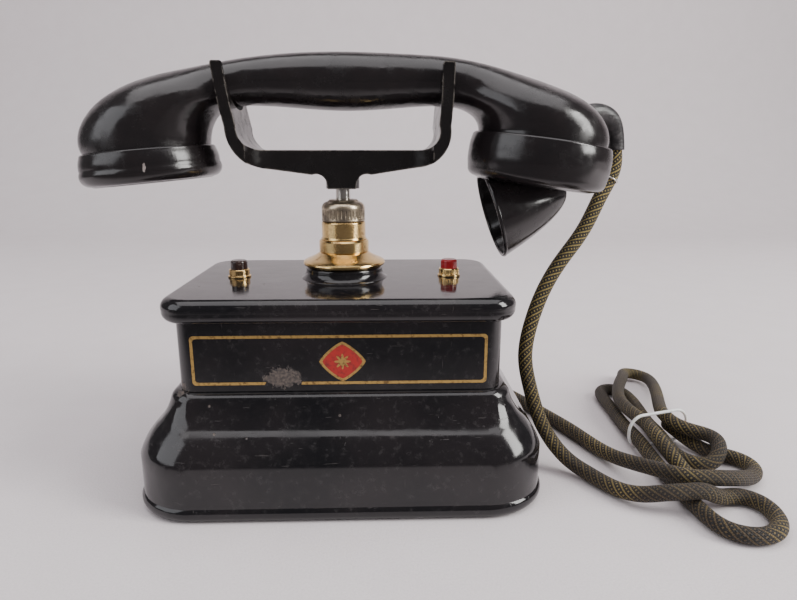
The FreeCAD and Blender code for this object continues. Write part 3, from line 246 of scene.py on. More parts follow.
def metal(name, bright, dull, rough, turned=0.0, tarnish=0.5):
    """Bare metal between two tones, with tool marks, tarnish and fine scratches."""
    paint = Paint(name)
    cloud = paint.fade(paint.noise(6, 8, rough=0.7), tarnish, tarnish + 0.25)
    fine = paint.noise(1.0, 6, (1, 1, 9))
    tone = paint.mix(cloud, bright, dull)
    tone = paint.mix(paint.fade(fine, 0.6, 0.8, 0.0, 0.25), tone, dull)
    gloss = paint.math("ADD", paint.fade(cloud, 0, 1, rough, rough + 0.22),
                       paint.math("MULTIPLY", fine, 0.10))
    paint.surface(Base_Color=tone, Roughness=gloss, Metallic=1.0)
    if turned:
        paint.bump(paint.rings(turned, "Z", 0.6), 0.02)
    paint.bump(fine, 0.012)
    return paint.material


def rough_iron(name, tone_a, tone_b, depth):
    """Cast or forged iron with a grainy skin."""
    paint = Paint(name)
    grain = paint.noise(0.9, 6)
    tone = paint.mix(paint.noise(7, 6), tone_a, tone_b)
    paint.surface(Base_Color=tone, Metallic=0.75,
                  Roughness=paint.fade(grain, 0.3, 0.7, 0.42, 0.68))
    paint.bump(grain, depth)
    return paint.material


def red_paint(name):
    """Brushed red lead paint, as on horseshoe magnets, with bare scuffed edges."""
    paint = Paint(name)
    worn = paint.math("MULTIPLY", paint.edges(0.8), paint.fade(paint.noise(4, 6), 0.45, 0.58))
    tone = paint.mix(paint.noise(9, 5), (0.20, 0.025, 0.018), (0.32, 0.05, 0.03))
    tone = paint.mix(worn, tone, (0.30, 0.29, 0.28))
    paint.surface(Base_Color=tone, Metallic=worn,
                  Roughness=paint.fade(paint.noise(5, 5), 0.3, 0.7, 0.3, 0.5))
    paint.bump(paint.noise(2.0, 3, (1, 1, 0.2)), 0.03)
    return paint.material


def button_plastic(name, tone_a, tone_b):
    """Turned and polished button with a finger-worn top."""
    paint = Paint(name)
    tone = paint.mix(paint.noise(3, 6), tone_a, tone_b)
    worn = paint.fade(paint.noise(1.5, 6), 0.55, 0.75)
    tone = paint.mix(paint.math("MULTIPLY", worn, 0.18), tone, (0.6, 0.5, 0.45))
    paint.surface(Base_Color=tone, Roughness=paint.fade(worn, 0, 1, 0.14, 0.34), IOR=1.55)
    paint.bump(paint.rings(0.35, "Z", 0.5), 0.008)
    return paint.material


def insulator(name):
    """Fibrous brown insulating board."""
    paint = Paint(name)
    fibre = paint.noise(1.4, 7, (1, 9, 1))
    tone = paint.mix(fibre, (0.10, 0.045, 0.02), (0.26, 0.13, 0.06))
    paint.surface(Base_Color=tone, Roughness=paint.fade(fibre, 0.3, 0.7, 0.38, 0.6))
    paint.bump(fibre, 0.04)
    return paint.material


def felt(name):
    """Pressed green felt with loose fibres."""
    paint = Paint(name)
    fibre = paint.noise(0.7, 8, rough=0.8)
    lumps = paint.cells(1.1)
    tone = paint.mix(fibre, (0.03, 0.07, 0.045), (0.10, 0.17, 0.11))
    paint.surface(Base_Color=tone, Roughness=0.95, Sheen_Weight=0.6)
    paint.bump(fibre, 0.30)
    paint.bump(lumps, 0.12)
    return paint.material


def rubber(name):
    """Perished black rubber with a faint bloom and moulding lines."""
    paint = Paint(name)
    bloom = paint.fade(paint.noise(4, 7, rough=0.7), 0.45, 0.7)
    tone = paint.mix(bloom, (0.018, 0.017, 0.018), (0.075, 0.070, 0.070))
    paint.surface(Base_Color=tone, Roughness=paint.fade(bloom, 0, 1, 0.38, 0.62))
    paint.bump(paint.noise(0.6, 5), 0.03)
    paint.bump(paint.rings(1.7, "Z", 0.3), 0.03)
    return paint.material


def wound(name, tone_a, tone_b, pitch, direction):
    """Covered wire wound in close turns."""
    paint = Paint(name)
    turns = paint.rings(pitch, direction, 0.35)
    lay = paint.noise(0.5, 5)
    tone = paint.mix(turns, tone_a, tone_b)
    tone = paint.mix(paint.fade(lay, 0.5, 0.8, 0.0, 0.4), tone, tone_a)
    paint.surface(Base_Color=tone, Roughness=paint.fade(lay, 0.3, 0.7, 0.42, 0.7),
                  Sheen_Weight=0.4)
    paint.bump(turns, 0.14)
    return paint.material


def boxwood(name):
    """Straight-grained turned wood, oiled and darkened."""
    paint = Paint(name)
    grain = paint.noise(2.2, 7, (0.12, 1, 1), 0.6)
    pores = paint.fade(paint.noise(0.6, 4, (0.1, 1, 1)), 0.6, 0.72)
    tone = paint.mix(grain, (0.24, 0.12, 0.05), (0.52, 0.33, 0.16))
    tone = paint.mix(paint.math("MULTIPLY", pores, 0.5), tone, (0.12, 0.06, 0.03))
    paint.surface(Base_Color=tone, Roughness=paint.fade(grain, 0.3, 0.7, 0.32, 0.5))
    paint.bump(pores, -0.05)
    return paint.material


def white_nylon(name):
    """White plastic tie with fine cross ribs, dulled by handling."""
    paint = Paint(name)
    dirt = paint.fade(paint.noise(3, 7), 0.4, 0.75)
    tone = paint.mix(paint.math("MULTIPLY", dirt, 0.5), (0.82, 0.82, 0.80), (0.50, 0.47, 0.42))
    paint.surface(Base_Color=tone, Roughness=0.42, Subsurface_Weight=0.1)
    paint.bump(paint.rings(0.7, "X", 0.1), 0.05)
    return paint.material


def braid(name, gold, brown, dark):
    """Cotton braid: two families of slanting threads that pass over and under each
    other, drawn from the cord's own coordinates (turns round it, picks along it)."""
    paint = Paint(name)
    coords = paint.node("ShaderNodeUVMap", uv_map="braid").outputs["UV"]
    split = paint.node("ShaderNodeSeparateXYZ", {"Vector": coords})
    around, along = split.outputs["X"], split.outputs["Y"]
    left = paint.math("ADD", around, along)
    right = paint.math("SUBTRACT", around, along)
    left_id, right_id = (paint.math("FLOOR", v) for v in (left, right))
    over = paint.math("MODULO", paint.math("ABSOLUTE", paint.math("ADD", left_id, right_id)),
                      2.0)
    profiles = [paint.math("SINE", paint.math("MULTIPLY", paint.math("FRACT", v), math.pi))
                for v in (left, right)]
    relief = paint.choose(over, *profiles)
    gold_left = paint.math("LESS_THAN", paint.math("FLOORED_MODULO", left_id, 2.0), 0.5)
    gold_right = paint.math("LESS_THAN", paint.math("FLOORED_MODULO", right_id, 4.0), 0.5)
    golden = paint.choose(over, gold_left, gold_right)
    # The share of brown threads rises towards the table and falls higher up the cord, with random
    # change on top.
    height_above = paint.node("ShaderNodeSeparateXYZ", {"Vector": paint.place}).outputs["Z"]
    browner_low_down = paint.fade(height_above, 0.01, 0.07, 1.0, 0.3)
    brown_share = paint.math("MULTIPLY", paint.fade(paint.noise(26, 4), 0.30, 0.60, 0.45, 1.0), browner_low_down)
    thread = paint.mix(brown_share, gold, brown)
    tone = paint.mix(golden, dark, thread)
    # Painted shade: the dips between the threads, where the relief is low, are darkened towards
    # black.
    tone = paint.mix(paint.fade(relief, 0.55, 0.1), tone, (0.006, 0.004, 0.002))
    fibre = paint.noise(0.35, 4)
    tone = paint.mix(paint.fade(fibre, 0.35, 0.75, 0.0, 0.35), tone, dark)
    paint.surface(Base_Color=tone, Roughness=paint.fade(fibre, 0.3, 0.7, 0.55, 0.85),
                  Sheen_Weight=0.04)
    paint.bump(relief, 0.22)
    paint.bump(fibre, 0.05)
    return paint.material


def transfer(name, tone_a, tone_b, shine):
    """Thin painted or gilded line, rubbed unevenly."""
    paint = Paint(name)
    rubbed = paint.fade(paint.noise(1.6, 7, rough=0.7), 0.48, 0.66)
    tone = paint.mix(rubbed, tone_a, tone_b)
    paint.surface(Base_Color=tone, Metallic=shine,
                  Roughness=paint.fade(rubbed, 0, 1, 0.32, 0.6))
    paint.bump(paint.noise(0.5, 4), 0.02)
    return paint.material


# ---------------------------------------------------------------- places on the case
CASE_LOW, CASE_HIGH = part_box("body_case")
FRONT_Y = CASE_LOW.y
CASE_HALF = CASE_HIGH.x
PANEL_LOW = CASE_LOW.z                  # visible front panel: from the base to the lid
PANEL_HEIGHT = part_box("lid")[0].z - CASE_LOW.z


def on_front(across, up):
    """Point on the case's front: across is -1 to 1, up is 0 at the base, 1 at the lid."""
    return Vector((across * CASE_HALF, FRONT_Y, PANEL_LOW + up * PANEL_HEIGHT))


# Places where the enamel has come off, as (centre, half sizes) in metres
CHIPS = [(on_front(-0.35, 0.20), (0.0078, 0.004, 0.0046)),
         (on_front(-0.985, 0.06), (0.0036, 0.004, 0.0032))]


# Nick in the front of the receiver's cap, as (centre, half sizes)
EAR_LOW, EAR_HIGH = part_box("receiver_cap")
NICK = (Vector((0.38 * EAR_LOW.x + 0.62 * EAR_HIGH.x, 0.97 * EAR_LOW.y,
                (EAR_LOW.z + EAR_HIGH.z) / 2)), (0.0007, 0.002, 0.0018))


# ---------------------------------------------------------------- finish of each slot
FINISHES = {
    "black_enamel": black_enamel,
    "black_casting": black_casting,
    "bakelite": bakelite,
    "brass": lambda name: metal(name, (0.83, 0.58, 0.25), (0.42, 0.26, 0.12), 0.14, 0.4),
    "aged_brass": lambda name: metal(name, (0.60, 0.50, 0.36), (0.23, 0.19, 0.15), 0.24,
                                     tarnish=0.38),
    "bronze": lambda name: metal(name, (0.70, 0.45, 0.25), (0.35, 0.20, 0.12), 0.3),
    "nickel": lambda name: metal(name, (0.66, 0.63, 0.58), (0.33, 0.29, 0.25), 0.15, 0.5),
    "steel": lambda name: metal(name, (0.50, 0.50, 0.51), (0.24, 0.21, 0.19), 0.3),
    "cast_iron": lambda name: rough_iron(name, (0.06, 0.06, 0.065), (0.14, 0.13, 0.13), 0.12),
    "soft_iron": lambda name: rough_iron(name, (0.20, 0.19, 0.19), (0.33, 0.31, 0.30), 0.03),
    "magnet_steel": red_paint,
    "button_dark": lambda name: button_plastic(name, (0.018, 0.011, 0.010),
                                               (0.045, 0.022, 0.018)),
    "button_red": lambda name: button_plastic(name, (0.26, 0.008, 0.012),
                                              (0.42, 0.02, 0.022)),
    "insulator": insulator,
    "felt": felt,
    "rubber": rubber,
    "silk_wire": lambda name: wound(name, (0.04, 0.12, 0.05), (0.14, 0.30, 0.13), 0.35, "Z"),
    "wire_cover": lambda name: wound(name, (0.26, 0.18, 0.08), (0.55, 0.42, 0.22), 0.5, "X"),
    "boxwood": boxwood,
    "tinned_can": lambda name: metal(name, (0.62, 0.62, 0.60), (0.36, 0.35, 0.33), 0.28,
                                     tarnish=0.42),
    "aluminium": lambda name: metal(name, (0.72, 0.72, 0.72), (0.45, 0.44, 0.43), 0.3, 0.5),
    "diaphragm": lambda name: metal(name, (0.46, 0.46, 0.47), (0.25, 0.24, 0.24), 0.3),
    "braid": lambda name: braid(name, (0.42, 0.31, 0.08), (0.075, 0.048, 0.020),
                                (0.009, 0.0065, 0.004)),
    "white_tie": white_nylon,
}
MATERIALS = {slot["slot"]: FINISHES[slot["slot"]](slot["slot"])
             for slot in frame["record"]["materials"]}
GILT = transfer("gilt_line", (0.62, 0.40, 0.13), (0.20, 0.12, 0.05), 0.75)
RED_ENAMEL = transfer("red_field", (0.36, 0.018, 0.015), (0.17, 0.012, 0.010), 0.0)


def dress(obj, material):
    """Give an object one material in place of any it has."""
    obj.data.materials.clear()
    obj.data.materials.append(material)


# CAD nodes whose edges are too fine to round off
UNROUNDED = {"return_spring", "button_springs", "handset_cord", "table_cord", "wiring",
             "cord_sleeve", "cord_tie", "leaf_contacts", "receiver_diaphragm"}


WIDEST_ROUNDING = 0.30 * MM
ROUNDING_SHARE = 0.012                  # rounding as a share of the part's thinnest side
SHARP_EDGE = math.radians(32)


def finish_cad_nodes():
    """Put each CAD part's material on it, and round its sharp edges a little."""
    for part in frame["record"]["subparts"]:
        obj = NODES[part["node"]]
        dress(obj, MATERIALS[part["material_slot"]])
        obj.data.shade_smooth()
        weld = obj.modifiers.new("weld", "WELD")
        weld.merge_threshold = WELD_GAP
        if part["node"] not in UNROUNDED:
            low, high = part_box(part["node"])
            bevel = obj.modifiers.new("edges", "BEVEL")
            bevel.width = min(WIDEST_ROUNDING, ROUNDING_SHARE * min(high - low))
            bevel.segments = 2
            bevel.limit_method = "ANGLE"
            bevel.angle_limit = SHARP_EDGE
            bevel.harden_normals = True
            weighted = obj.modifiers.new("even_shading", "WEIGHTED_NORMAL")
            weighted.keep_sharp = True


def mesh_piece(name, vertices, faces, material, smooth=True):
    """New object from points and faces, with its material."""
    mesh = bpy.data.meshes.new(name)
    mesh.from_pydata([tuple(v) for v in vertices], [], faces)
    mesh.update()
    if smooth:
        mesh.shade_smooth()
    obj = bpy.data.objects.new(name, mesh)
    bpy.context.scene.collection.objects.link(obj)
    dress(obj, material)
    return obj


# ---------------------------------------------------------------- decoration
LINE = 1.2 * MM                         # width of the gilt line
SKIN = 0.05 * MM                        # its thickness


def rounded_loop(centre, half_x, half_z, corner, per_corner=6):
    """Points round a rounded rectangle on the case's front, clockwise from the top right."""
    points = []
    for sx, sz, start in ((1, 1, 90), (1, -1, 0), (-1, -1, -90), (-1, 1, -180)):
        for i in range(per_corner + 1):
            angle = math.radians(start - 90 * i / per_corner)
            points.append(centre + Vector((sx * (half_x - corner) + corner * math.cos(angle),
                                           0, sz * (half_z - corner) + corner * math.sin(angle))))
    return points


def raised_sheet(name, outline, material, thickness):
    """Thin plate in front of the case with the given outline."""
    lift = Vector((0, -thickness, 0))
    count = len(outline)
    centre = sum(outline, Vector()) / count
    vertices = [p + lift for p in outline] + list(outline) + [centre + lift]
    faces = [(i, 2 * count, (i + 1) % count) for i in range(count)]
    faces += [(i, (i + 1) % count, count + (i + 1) % count, count + i) for i in range(count)]
    return mesh_piece(name, vertices, faces, material, smooth=False)


def ribbon(name, outer, inner, material, keep):
    """Flat line between two matching loops; keep says which stretches are still there."""
    lift = Vector((0, -SKIN, 0))
    count = len(outer)
    vertices = [p + lift for p in outer] + [p + lift for p in inner] + outer + inner
    faces = []
    for i in range(count):
        j = (i + 1) % count
        if keep(outer[i], outer[j]):
            faces.append((i, j, count + j, count + i))
            faces.append((i, 2 * count + i, 2 * count + j, j))
            faces.append((count + i, count + j, 3 * count + j, 3 * count + i))
    return mesh_piece(name, vertices, faces, material, smooth=False)


def subdivided(loop, longest):
    """The closed loop with extra points, so that no side is longer than this."""
    points = []
    for i, point in enumerate(loop):
        following = loop[(i + 1) % len(loop)]
        steps = max(1, math.ceil((following - point).length / longest))
        points += [point.lerp(following, k / steps) for k in range(steps)]
    return points


def gilt_frame():
    """Gilt line round the front panel, lost where the enamel is chipped."""
    half_x = 0.90 * CASE_HALF
    low, high = 0.10, 0.81
    centre = on_front(0, (low + high) / 2)
    half_z = (high - low) / 2 * PANEL_HEIGHT
    corners = rounded_loop(centre, half_x, half_z, 1.6 * MM)
    outer = subdivided(corners, 2.2 * MM)
    inner = []
    for point in outer:
        offset = point - centre
        inner.append(centre + Vector((offset.x * (1 - LINE / half_x), 0,
                                      offset.z * (1 - LINE / half_z))))
    chip, reach = CHIPS[0]

    def keep(first, last):
        middle = (first + last) / 2
        lost = abs(middle.x - chip.x) < reach[0] * 0.95 and middle.z < chip.z
        return not lost

    return ribbon("gilt_frame", outer, inner, GILT, keep)


def rosette():
    """Generic ornament in the middle of the panel: a red lozenge with a gilt border and a
    gilt eight-lobed flower."""
    centre = on_front(0.015, 0.43)
    half_x, half_z = 9.6 * MM, 8.6 * MM
    pieces = []

    def lozenge(scale):
        steps = 48
        points = []
        for i in range(steps):
            angle = 2 * math.pi * i / steps
            c, s = math.cos(angle), math.sin(angle)
            reach = 1 / (abs(c) ** 1.25 + abs(s) ** 1.25) ** (1 / 1.25)
            points.append(centre + Vector((scale * half_x * reach * c, 0,
                                           scale * half_z * reach * s)))
        return points

    def flower(radius):
        steps = 96
        points = []
        for i in range(steps):
            angle = 2 * math.pi * i / steps
            reach = radius * (0.72 + 0.28 * math.cos(8 * angle))
            points.append(centre + Vector((reach * math.cos(angle), -SKIN,
                                           reach * math.sin(angle))))
        return points

    pieces.append(ribbon("rosette_border", lozenge(1.0), lozenge(0.86), GILT,
                         lambda first, last: True))
    pieces.append(raised_sheet("rosette_field", lozenge(0.86), RED_ENAMEL, 0.8 * SKIN))
    pieces.append(raised_sheet("rosette_flower", flower(3.4 * MM), GILT, 0.8 * SKIN))
    return pieces


# ---------------------------------------------------------------- cord
STEP = 1.5 * MM                         # spacing when following a CAD cord
RING_SPACING = 1.1 * MM
SIDES = 24
END_FACES = 6                           # a flat end is cut into at least so many faces
END_ERROR = 0.03                        # how far its area may be from a whole disc's
REACH = 0.7 * STEP                      # middle points this close to a step count towards it
FORK_HEIGHT = 0.27                      # where the hanging cord is cut into two pieces, as a share of the height of its top
                                        # as a share of the height of its top
CLIP_HEIGHT = 0.915                     # where the wire clip is
FOOT_RISE = 3.5 * MM                    # height above the hank where the hanging cord ends
LEAD_IN = 3 * MM                        # length of cord hidden in the handset's sleeve
THREADS = 20                            # slanting threads of each family round the cord
PICK = 1.05 * MM                        # length along the cord per thread


class Tube:
    """A CAD cord read from the frame: points on its middle line and its flat ends."""

    def __init__(self, node):
        mesh = NODES[node].data
        flats = {}
        for face in mesh.polygons:
            offset = face.normal.dot(face.center)
            key = (*(round(v, 2) for v in face.normal), round(offset, 4))
            flats.setdefault(key, []).append(face)
        self.ends = []
        for faces in flats.values():
            if len(faces) < END_FACES:
                continue
            rim = {tuple(round(c, 6) for c in mesh.vertices[i].co)
                   for face in faces for i in face.vertices}
            rim = [Vector(p) for p in rim]
            centre = sum(rim, Vector()) / len(rim)
            reach = max((p - centre).length for p in rim)
            area = sum(face.area for face in faces)
            if abs(area / (math.pi * reach ** 2) - 1) < END_ERROR:
                self.ends.append((centre, -faces[0].normal, reach))
        self.radius = self.ends[0][2]
        points = np.empty(len(mesh.vertices) * 3)
        mesh.vertices.foreach_get("co", points)
        corners = np.empty(len(mesh.loops), dtype=int)
        mesh.loops.foreach_get("vertex_index", corners)
        outward = np.empty(len(mesh.loops) * 3)
        mesh.corner_normals.foreach_get("vector", outward)
        # a point of the round skin, moved in by the radius, lies on the middle line
        self.middle = (points.reshape(-1, 3)[corners]
                       - self.radius * outward.reshape(-1, 3))

    def follow(self, near):
        """Points along the middle of the cord, from its end nearest to a point."""
        centre, heading, _ = min(self.ends, key=lambda end: (end[0] - near).length)
        line = [centre]
        while True:
            ahead = line[-1] + heading * STEP
            away = np.linalg.norm(self.middle - np.array(ahead), axis=1)
            close = self.middle[away < REACH]
            if not len(close):
                return line
            found = Vector(close.mean(axis=0))
            heading = (found - line[-1]).normalized()
            line.append(found)


def smoothed(line, passes=4):
    """The same line with its small kinks evened out."""
    for _ in range(passes):
        line = [line[0]] + [(line[i - 1] + 2 * line[i] + line[i + 1]) / 4
                            for i in range(1, len(line) - 1)] + [line[-1]]
    return line


def evenly(line, spacing):
    """The same line with evenly spaced points."""
    lengths = [0.0]
    for first, last in zip(line, line[1:]):
        lengths.append(lengths[-1] + (last - first).length)
    count = int(lengths[-1] / spacing)
    coords = np.array([tuple(p) for p in line])
    places = np.linspace(0, lengths[-1], count + 1)
    return [Vector(p) for p in np.stack(
        [np.interp(places, lengths, coords[:, k]) for k in range(3)], axis=1)]


def carried_frames(line):
    """For each point, two directions across the line that turn as little as possible."""
    frames = []
    across = (line[1] - line[0]).orthogonal().normalized()
    for i in range(len(line)):
        heading = (line[min(i + 1, len(line) - 1)] - line[max(i - 1, 0)]).normalized()
        across = (across - heading * across.dot(heading)).normalized()
        frames.append((across, heading.cross(across)))
    return frames


def braided(name, line, frames, first, last, radius, closed_end=False):
    """Braided tube along part of a line, with its own coordinates for the weave."""
    rings = []
    for i in range(first, last + 1):
        left = (last - i) * RING_SPACING
        size = radius
        if closed_end and left < radius:
            size = radius * math.sqrt(max(0.02, 1 - (1 - left / radius) ** 2))
        across, up = frames[i]
        rings.append([line[i] + across * (size * math.cos(2 * math.pi * k / SIDES))
                      + up * (size * math.sin(2 * math.pi * k / SIDES))
                      for k in range(SIDES)])
    vertices = [p for ring in rings for p in ring]
    faces = []
    coords = []
    for i in range(len(rings) - 1):
        low = (first + i) * RING_SPACING / PICK
        high = low + RING_SPACING / PICK
        for k in range(SIDES):
            j = (k + 1) % SIDES
            faces.append((i * SIDES + k, i * SIDES + j, (i + 1) * SIDES + j,
                          (i + 1) * SIDES + k))
            u0, u1 = THREADS * k / SIDES, THREADS * (k + 1) / SIDES
            coords += [(u0, low), (u1, low), (u1, high), (u0, high)]
    if closed_end:
        base = (len(rings) - 1) * SIDES
        faces.append(tuple(base + k for k in range(SIDES)))
        coords += [(0, 0)] * SIDES
    obj = mesh_piece(name, vertices, faces, MATERIALS["braid"])
    layer = obj.data.uv_layers.new(name="braid")
    layer.data.foreach_set("uv", [c for pair in coords for c in pair])
    return obj


def cord():
    """The whole cord, replacing the two plain CAD ones."""
    hanging = Tube("handset_cord")
    spare = Tube("table_cord")
    sleeve_low, sleeve_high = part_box("cord_sleeve")
    outlet_low, outlet_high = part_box("cord_bush")
    top = Vector((sleeve_high.x, sleeve_high.y, sleeve_low.z))
    upper = hanging.follow(top)
    radius = hanging.radius
    lead_in = upper[0] + (upper[0] - upper[1]).normalized() * LEAD_IN
    hank = spare.follow(upper[-1])
    run = [lead_in] + upper + hank[1:]
    line = evenly(smoothed(evenly(run, STEP)), RING_SPACING)
    frames = carried_frames(line)

    def index_at(height):
        return next(i for i, point in enumerate(line) if point.z < height)

    split = index_at(FORK_HEIGHT * upper[0].z)
    foot = index_at(hank[0].z + FOOT_RISE)
    hang_top = braided("cord_hanging_top", line, frames, 0, split, radius)
    hang_foot = braided("cord_hanging_foot", line, frames, split, foot, radius)
    on_table = braided("cord_hank", line, frames, foot, len(line) - 1, radius, True)
    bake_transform(hang_top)
    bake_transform(hang_foot)
    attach(on_table, "base")
    for piece in (hang_top, hang_foot):
        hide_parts("handset_cord")
    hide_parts("table_cord")

    outlet = (outlet_low + outlet_high) / 2
    exit_run = evenly(smoothed(spare.follow(outlet)), RING_SPACING)
    exit_cord = braided("cord_exit", exit_run, carried_frames(exit_run), 0,
                        len(exit_run) - 1, radius, True)
    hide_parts("table_cord")
    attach(exit_cord, "base")
    place = index_at(CLIP_HEIGHT * upper[0].z)
    cord_clip(line[place], (line[place + 1] - line[place - 1]).normalized(), radius)


def cord_clip(centre, heading, radius):
    """Small wire clip on the cord: a ring with a short hook."""
    across = heading.orthogonal().normalized()
    up = heading.cross(across)
    wire = 0.45 * MM
    pitch = 1.2 * MM                    # how far the ring runs along the cord
    flare = 0.22 * MM                   # how far each step of the hook stands off
    steps, hook_steps, sides = 48, 12, 10
    round_steps = steps - hook_steps
    path = []
    for i in range(steps):
        angle = 2 * math.pi * i / round_steps
        reach = radius + wire + max(0, i - round_steps) * flare
        path.append(centre + (across * math.cos(angle) + up * math.sin(angle)) * reach
                    + heading * (i / steps) * pitch)
    frames = carried_frames(path)
    vertices = [p + a * wire * math.cos(2 * math.pi * k / sides)
                + b * wire * math.sin(2 * math.pi * k / sides)
                for p, (a, b) in zip(path, frames) for k in range(sides)]
    faces = [(i * sides + k, i * sides + (k + 1) % sides,
              (i + 1) * sides + (k + 1) % sides, (i + 1) * sides + k)
             for i in range(steps - 1) for k in range(sides)]
    faces.append(tuple(range(sides)))
    faces.append(tuple((steps - 1) * sides + k for k in range(sides)))
    clip = mesh_piece("cord_clip", vertices, faces, MATERIALS["nickel"])
    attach(clip, "handset")


# ---------------------------------------------------------------- springs and contacts
def connected(work):
    """Groups of faces that hang together, in the order their first faces come."""
    seen = set()
    groups = []
    for face in work.faces:
        group = []
        waiting = [face]
        while waiting:
            one = waiting.pop()
            if one in seen:
                continue
            seen.add(one)
            group.append(one)
            for edge in one.edges:
                waiting.extend(edge.link_faces)
        if group:
            groups.append(group)
    return groups


LONGEST_FLAT = 1.5 * MM                 # longer edges are split, each into one part more than this
CUTS = 9                                # into one part more than this


def loose_parts(node, name, material, bendable=False):
    """Copies of a CAD node's separate solids, from left to right. A bendable one gets
    extra points along its long edges."""
    work = bmesh.new()
    work.from_mesh(NODES[node].data)
    bmesh.ops.remove_doubles(work, verts=work.verts, dist=WELD_GAP)
    if bendable:
        long_edges = [edge for edge in work.edges if edge.calc_length() > LONGEST_FLAT]
        bmesh.ops.subdivide_edges(work, edges=long_edges, cuts=CUTS, use_grid_fill=True)
    work.verts.index_update()
    work.verts.ensure_lookup_table()
    parts = []
    for group in connected(work):
        used = sorted({vertex.index for face in group for vertex in face.verts})
        number = {index: i for i, index in enumerate(used)}
        points = [work.verts[index].co.copy() for index in used]
        faces = [tuple(number[vertex.index] for vertex in face.verts) for face in group]
        parts.append((points, faces))
    work.free()
    parts.sort(key=lambda part: (round(sum(p.x for p in part[0]) / len(part[0]), 4),
                                 sum(p.z for p in part[0])))
    pieces = []
    for i, (points, faces) in enumerate(parts):
        piece = mesh_piece(f"{name}_{i + 1}", points, faces, MATERIALS[material],
                           smooth=not bendable)
        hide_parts(node)
        pieces.append((piece, points))
    return pieces


BUTTON_LEAVES = 5 * MM                  # depth below a button that splits the contact leaves into two groups, treated alike


def springs_and_contacts():
    """Springs and contact leaves as separate pieces, fixed in place."""
    for piece, points in loose_parts("return_spring", "cradle_spring", "steel"):
        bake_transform(piece)
    for piece, points in loose_parts("button_springs", "button_spring", "steel"):
        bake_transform(piece)
    button_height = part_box("button_red")[0].z - BUTTON_LEAVES
    for piece, points in loose_parts("leaf_contacts", "contact_leaf", "bronze", True):
        if points[0].z > button_height:
            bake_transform(piece)
        else:
            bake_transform(piece)


# ---------------------------------------------------------------- column
def turned_piece(name, profile, material):
    """Piece turned about the column's axis from (radius, height) points."""
    sides = 96
    sharp = math.radians(28)
    vertices = [(r * math.cos(2 * math.pi * k / sides), r * math.sin(2 * math.pi * k / sides), z)
                for r, z in profile for k in range(sides)]
    rows = len(profile)
    faces = [(i * sides + k, i * sides + (k + 1) % sides,
              (i + 1) % rows * sides + (k + 1) % sides, (i + 1) % rows * sides + k)
             for i in range(rows) for k in range(sides)]
    piece = mesh_piece(name, vertices, faces, material)
    piece.data.set_sharp_from_angle(angle=sharp)
    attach(piece, "base")
    return piece


def column_foot():
    """Conical brass foot of the column with its ring."""
    low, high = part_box("column_flange")
    rim = high.x
    tall = high.z - low.z
    ring = 0.605 * rim
    bore = 0.43 * rim
    ring_low = low.z + 0.52 * tall
    rounded_rim = [(0.95 * rim, low.z), (0.985 * rim, low.z + 0.04 * tall),
                   (rim, low.z + 0.10 * tall), (0.99 * rim, low.z + 0.16 * tall),
                   (0.95 * rim, low.z + 0.21 * tall)]
    cone = [(0.85 * rim, low.z + 0.28 * tall), (0.74 * rim, low.z + 0.36 * tall),
            (0.66 * rim, low.z + 0.44 * tall), (0.59 * rim, ring_low)]
    top_ring = [(ring, ring_low + 0.04 * tall), (ring, high.z - 0.06 * tall),
                (0.57 * rim, high.z)]
    profile = [(bore, low.z), *rounded_rim, *cone, *top_ring, (bore, high.z)]
    foot = turned_piece("column_foot", profile, MATERIALS["brass"])
    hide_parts("column_flange")


# ---------------------------------------------------------------- studio
def studio_floor():
    """Pale cloth that runs back and up behind the telephone."""
    half_width, front, back, rise, bend = 2.2, -1.6, 1.3, 2.0, 0.5
    steps = 12
    profile = [(front, 0.0), (back - bend, 0.0)]
    profile += [(back - bend + bend * math.sin(a), bend - bend * math.cos(a))
                for a in (math.pi / 2 * i / steps for i in range(1, steps + 1))]
    profile.append((back, rise))
    vertices = [(x, y, z) for y, z in profile for x in (-half_width, half_width)]
    faces = [(2 * i, 2 * i + 1, 2 * i + 3, 2 * i + 2) for i in range(len(profile) - 1)]
    paint = Paint("studio_cloth")
    weave = paint.noise(0.9, 5)
    tone = paint.mix(paint.noise(30, 4), (0.66, 0.61, 0.62), (0.72, 0.675, 0.685))
    tone = paint.mix(paint.fade(weave, 0.35, 0.7, 0.0, 0.25), tone, (0.52, 0.48, 0.49))
    # Towards the viewer the cloth looks dark in reflections, as a dark room would
    towards = paint.node("ShaderNodeSeparateXYZ", {"Vector": paint.place}).outputs["Y"]
    mirrored = paint.node("ShaderNodeLightPath").outputs["Is Glossy Ray"]
    shaded = paint.math("MULTIPLY", mirrored, paint.fade(towards, -0.05, -0.25, 0.0, 0.9))
    tone = paint.mix(shaded, tone, (0.02, 0.018, 0.02))
    paint.surface(Base_Color=tone, Roughness=0.9)
    paint.bump(weave, 0.15)
    mesh_piece("studio_floor", vertices, faces, paint.material)


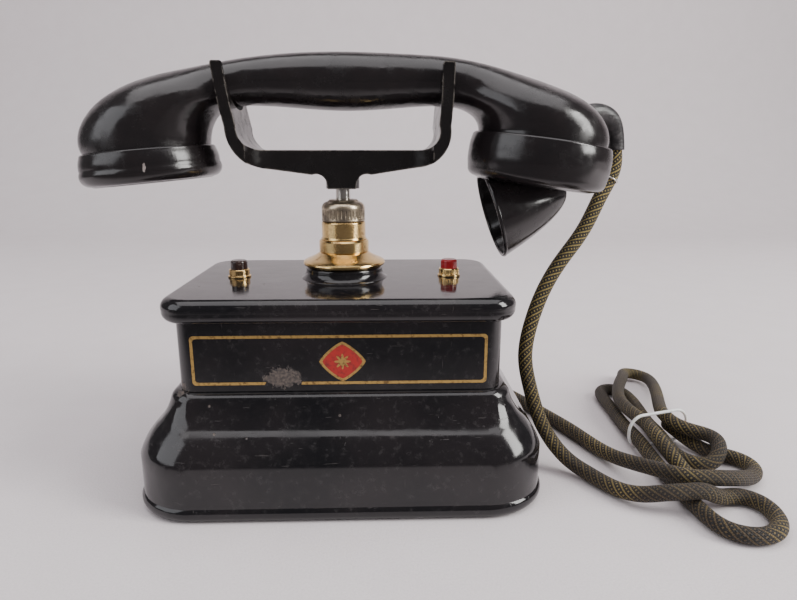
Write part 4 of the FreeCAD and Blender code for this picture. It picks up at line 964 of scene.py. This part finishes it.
def softbox(name, place, target, width, height, power, tint):
    """Rectangular area light that faces a target."""
    light = bpy.data.lights.new(name, "AREA")
    light.shape = "RECTANGLE"
    light.size = width
    light.size_y = height
    light.energy = power
    light.color = tint
    obj = bpy.data.objects.new(name, light)
    obj.location = place
    obj.rotation_euler = (Vector(target) - Vector(place)).to_track_quat("-Z", "Y").to_euler()
    bpy.context.scene.collection.objects.link(obj)


def studio():
    """Floor, three soft lights and the room around them."""
    studio_floor()
    middle = (0, 0, 0.08)
    softbox("window", (1.25, -0.45, 0.75), middle, 0.55, 0.95, 26, (1.0, 0.985, 0.96))
    softbox("left_fill", (-1.3, -0.7, 0.8), middle, 1.2, 1.2, 10, (0.95, 0.96, 1.0))
    softbox("overhead", (0.0, -0.15, 1.6), middle, 2.2, 1.6, 26, (1.0, 0.97, 0.99))
    world = bpy.data.worlds.new("studio")
    world.use_nodes = True
    tree = world.node_tree
    room = tree.nodes["Background"]
    room.inputs["Color"].default_value = (0.80, 0.76, 0.78, 1)
    # Even light for matt surfaces, and a dimmer room in glossy reflections
    path = tree.nodes.new("ShaderNodeLightPath")
    strength = tree.nodes.new("ShaderNodeMapRange")
    strength.inputs["To Min"].default_value = 0.45
    strength.inputs["To Max"].default_value = 0.16
    tree.links.new(path.outputs["Is Glossy Ray"], strength.inputs["Value"])
    tree.links.new(strength.outputs["Result"], room.inputs["Strength"])
    bpy.context.scene.world = world


CAMERA_PLACE = (0.0171, -0.2798, 0.1458)
CAMERA_TILT = 76.41                     # degrees up from looking straight down
CAMERA_TURN = -1.717                    # degrees, negative to the right
LENS = 27.1                             # focal length for a sensor 36 mm wide


def camera():
    """Camera close in front of the telephone, a little above its middle."""
    lens = bpy.data.cameras.new("camera")
    lens.sensor_width = 36.0
    lens.lens = LENS
    lens.clip_start = 0.01
    obj = bpy.data.objects.new("camera", lens)
    obj.location = CAMERA_PLACE
    obj.rotation_euler = (math.radians(CAMERA_TILT), 0, math.radians(CAMERA_TURN))
    bpy.context.scene.collection.objects.link(obj)
    bpy.context.scene.camera = obj


finish_cad_nodes()
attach(gilt_frame(), "base")
for ornament in rosette():
    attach(ornament, "base")
cord()
springs_and_contacts()
column_foot()
studio()
camera()
